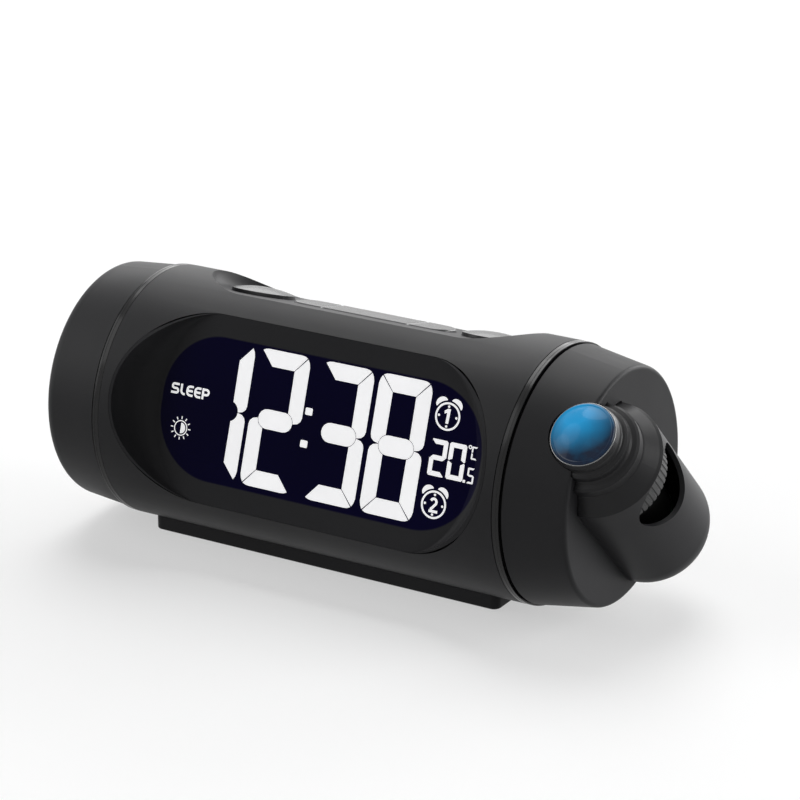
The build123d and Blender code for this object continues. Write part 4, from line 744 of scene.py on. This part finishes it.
def coverProfile():
    # from the rim over the dome to the axis and back above the travel of the lens
    edge, level = lensCover["domeEdge"]
    rise = lensCover["domeRise"]
    crown = (edge * edge + rise * rise) / (2 * rise)
    points = list(lensCover["rim"])
    for step in range(lensCover["domeSteps"]):
        reach = edge * (1.0 - step / lensCover["domeSteps"])
        points.append((reach, level + rise - crown + math.sqrt(crown * crown - reach * reach)))
    points.append((0.0, level + rise))
    return points + list(lensCover["back"])


def addLensCover():
    profile = [(out, 0.0, along) for out, along in coverProfile()]
    cover = spinProfile("lensCover", profile, 0.0, (0.0, 0.0, 1.0), lensFront["steps"], lensCover["smooth"])
    cover.data.materials.append(lensGlowAndPaintedReflection("lensCoverGlowAndPaintedReflection", coverLook))
    placeOnBeam(cover, 0.0)


addLensRing()
addLensCover()
print("lens front added")


# floor, world and lamps
def addSeen(tree):
    # 1 for what the camera, a reflection or a clear piece shows, and 0 for the light on the object
    rays = tree.nodes.new("ShaderNodeLightPath")
    seen = rays.outputs["Is Camera Ray"]
    for kind in ("Is Glossy Ray", "Is Transmission Ray"):
        either = addMath(tree, "MAXIMUM", seen)
        tree.links.new(rays.outputs[kind], either.inputs[1])
        seen = either.outputs["Value"]
    return seen


floorLook = {
    "size": 24.0, "dark": (0.44, 0.44, 0.44), "light": (0.46, 0.46, 0.46), "cloudScale": 1.5, "rough": 0.9,
    "specular": 0.1, "white": 0.5}


def addFloor():
    bpy.ops.object.select_all(action="DESELECT")
    bpy.ops.mesh.primitive_plane_add(size=floorLook["size"], location=(0.0, 0.0, 0.0))
    floor = bpy.context.object
    floor.name = "studioFloor"
    material, tree, shader, place = startMaterial("paleFloor")
    cloud = addNoise(tree, place, floorLook["cloudScale"])
    tree.links.new(addRamp(tree, cloud, floorLook["dark"], floorLook["light"]), shader.inputs["Base Color"])
    shader.inputs["Roughness"].default_value = floorLook["rough"]
    shader.inputs["Specular IOR Level"].default_value = floorLook["specular"]
    shader.inputs["Emission Color"].default_value = (1.0, 1.0, 1.0, 1.0)
    white = addMath(tree, "MULTIPLY", addSeen(tree), floorLook["white"])
    tree.links.new(white.outputs["Value"], shader.inputs["Emission Strength"])
    floor.data.materials.append(material)


worldLook = {"colour": (1.0, 1.0, 1.0), "strength": 0.05, "white": 1.0}


def addWorld():
    world = bpy.data.worlds.new("studioWorld")
    world.use_nodes = True
    tree = world.node_tree
    background = tree.nodes["Background"]
    background.inputs["Color"].default_value = (*worldLook["colour"], 1.0)
    level = addRange(tree, addSeen(tree), worldLook["strength"], worldLook["white"])
    tree.links.new(level, background.inputs["Strength"])
    bpy.context.scene.world = world


lampHeight = 2.0  # in metres, clear of the clock: a sun lamp's place changes no light
softLamps = (
    {"name": "overhead", "toward": (-0.23, 0.37, 0.9), "strength": 1.6, "spread": 40.0},
    {"name": "rearRight", "toward": (0.23, 0.95, 0.21), "strength": 1.8, "spread": 40.0},
    {"name": "rightSide", "toward": (0.84, 0.51, 0.21), "strength": 2.4, "spread": 40.0},
    {"name": "rearLeft", "toward": (-0.46, 0.75, 0.46), "strength": 0.75, "spread": 40.0},
    {"name": "frontLeft", "toward": (-0.67, -0.41, 0.62), "strength": 0.6, "spread": 40.0},
    {"name": "leftSide", "toward": (-0.84, -0.51, 0.21), "strength": 0.65, "spread": 40.0},
    {"name": "front", "toward": (0.3, -0.8, 0.5), "strength": 0.2, "spread": 50.0},
)


def addLamps():
    for look in softLamps:
        bpy.ops.object.light_add(type="SUN", location=(0.0, 0.0, lampHeight))
        lamp = bpy.context.object
        lamp.name = look["name"]
        lamp.rotation_euler = Vector(look["toward"]).to_track_quat("Z", "Y").to_euler()
        lamp.data.energy = look["strength"]
        lamp.data.angle = math.radians(look["spread"])


addFloor()
addWorld()
addLamps()
print("studio ready")
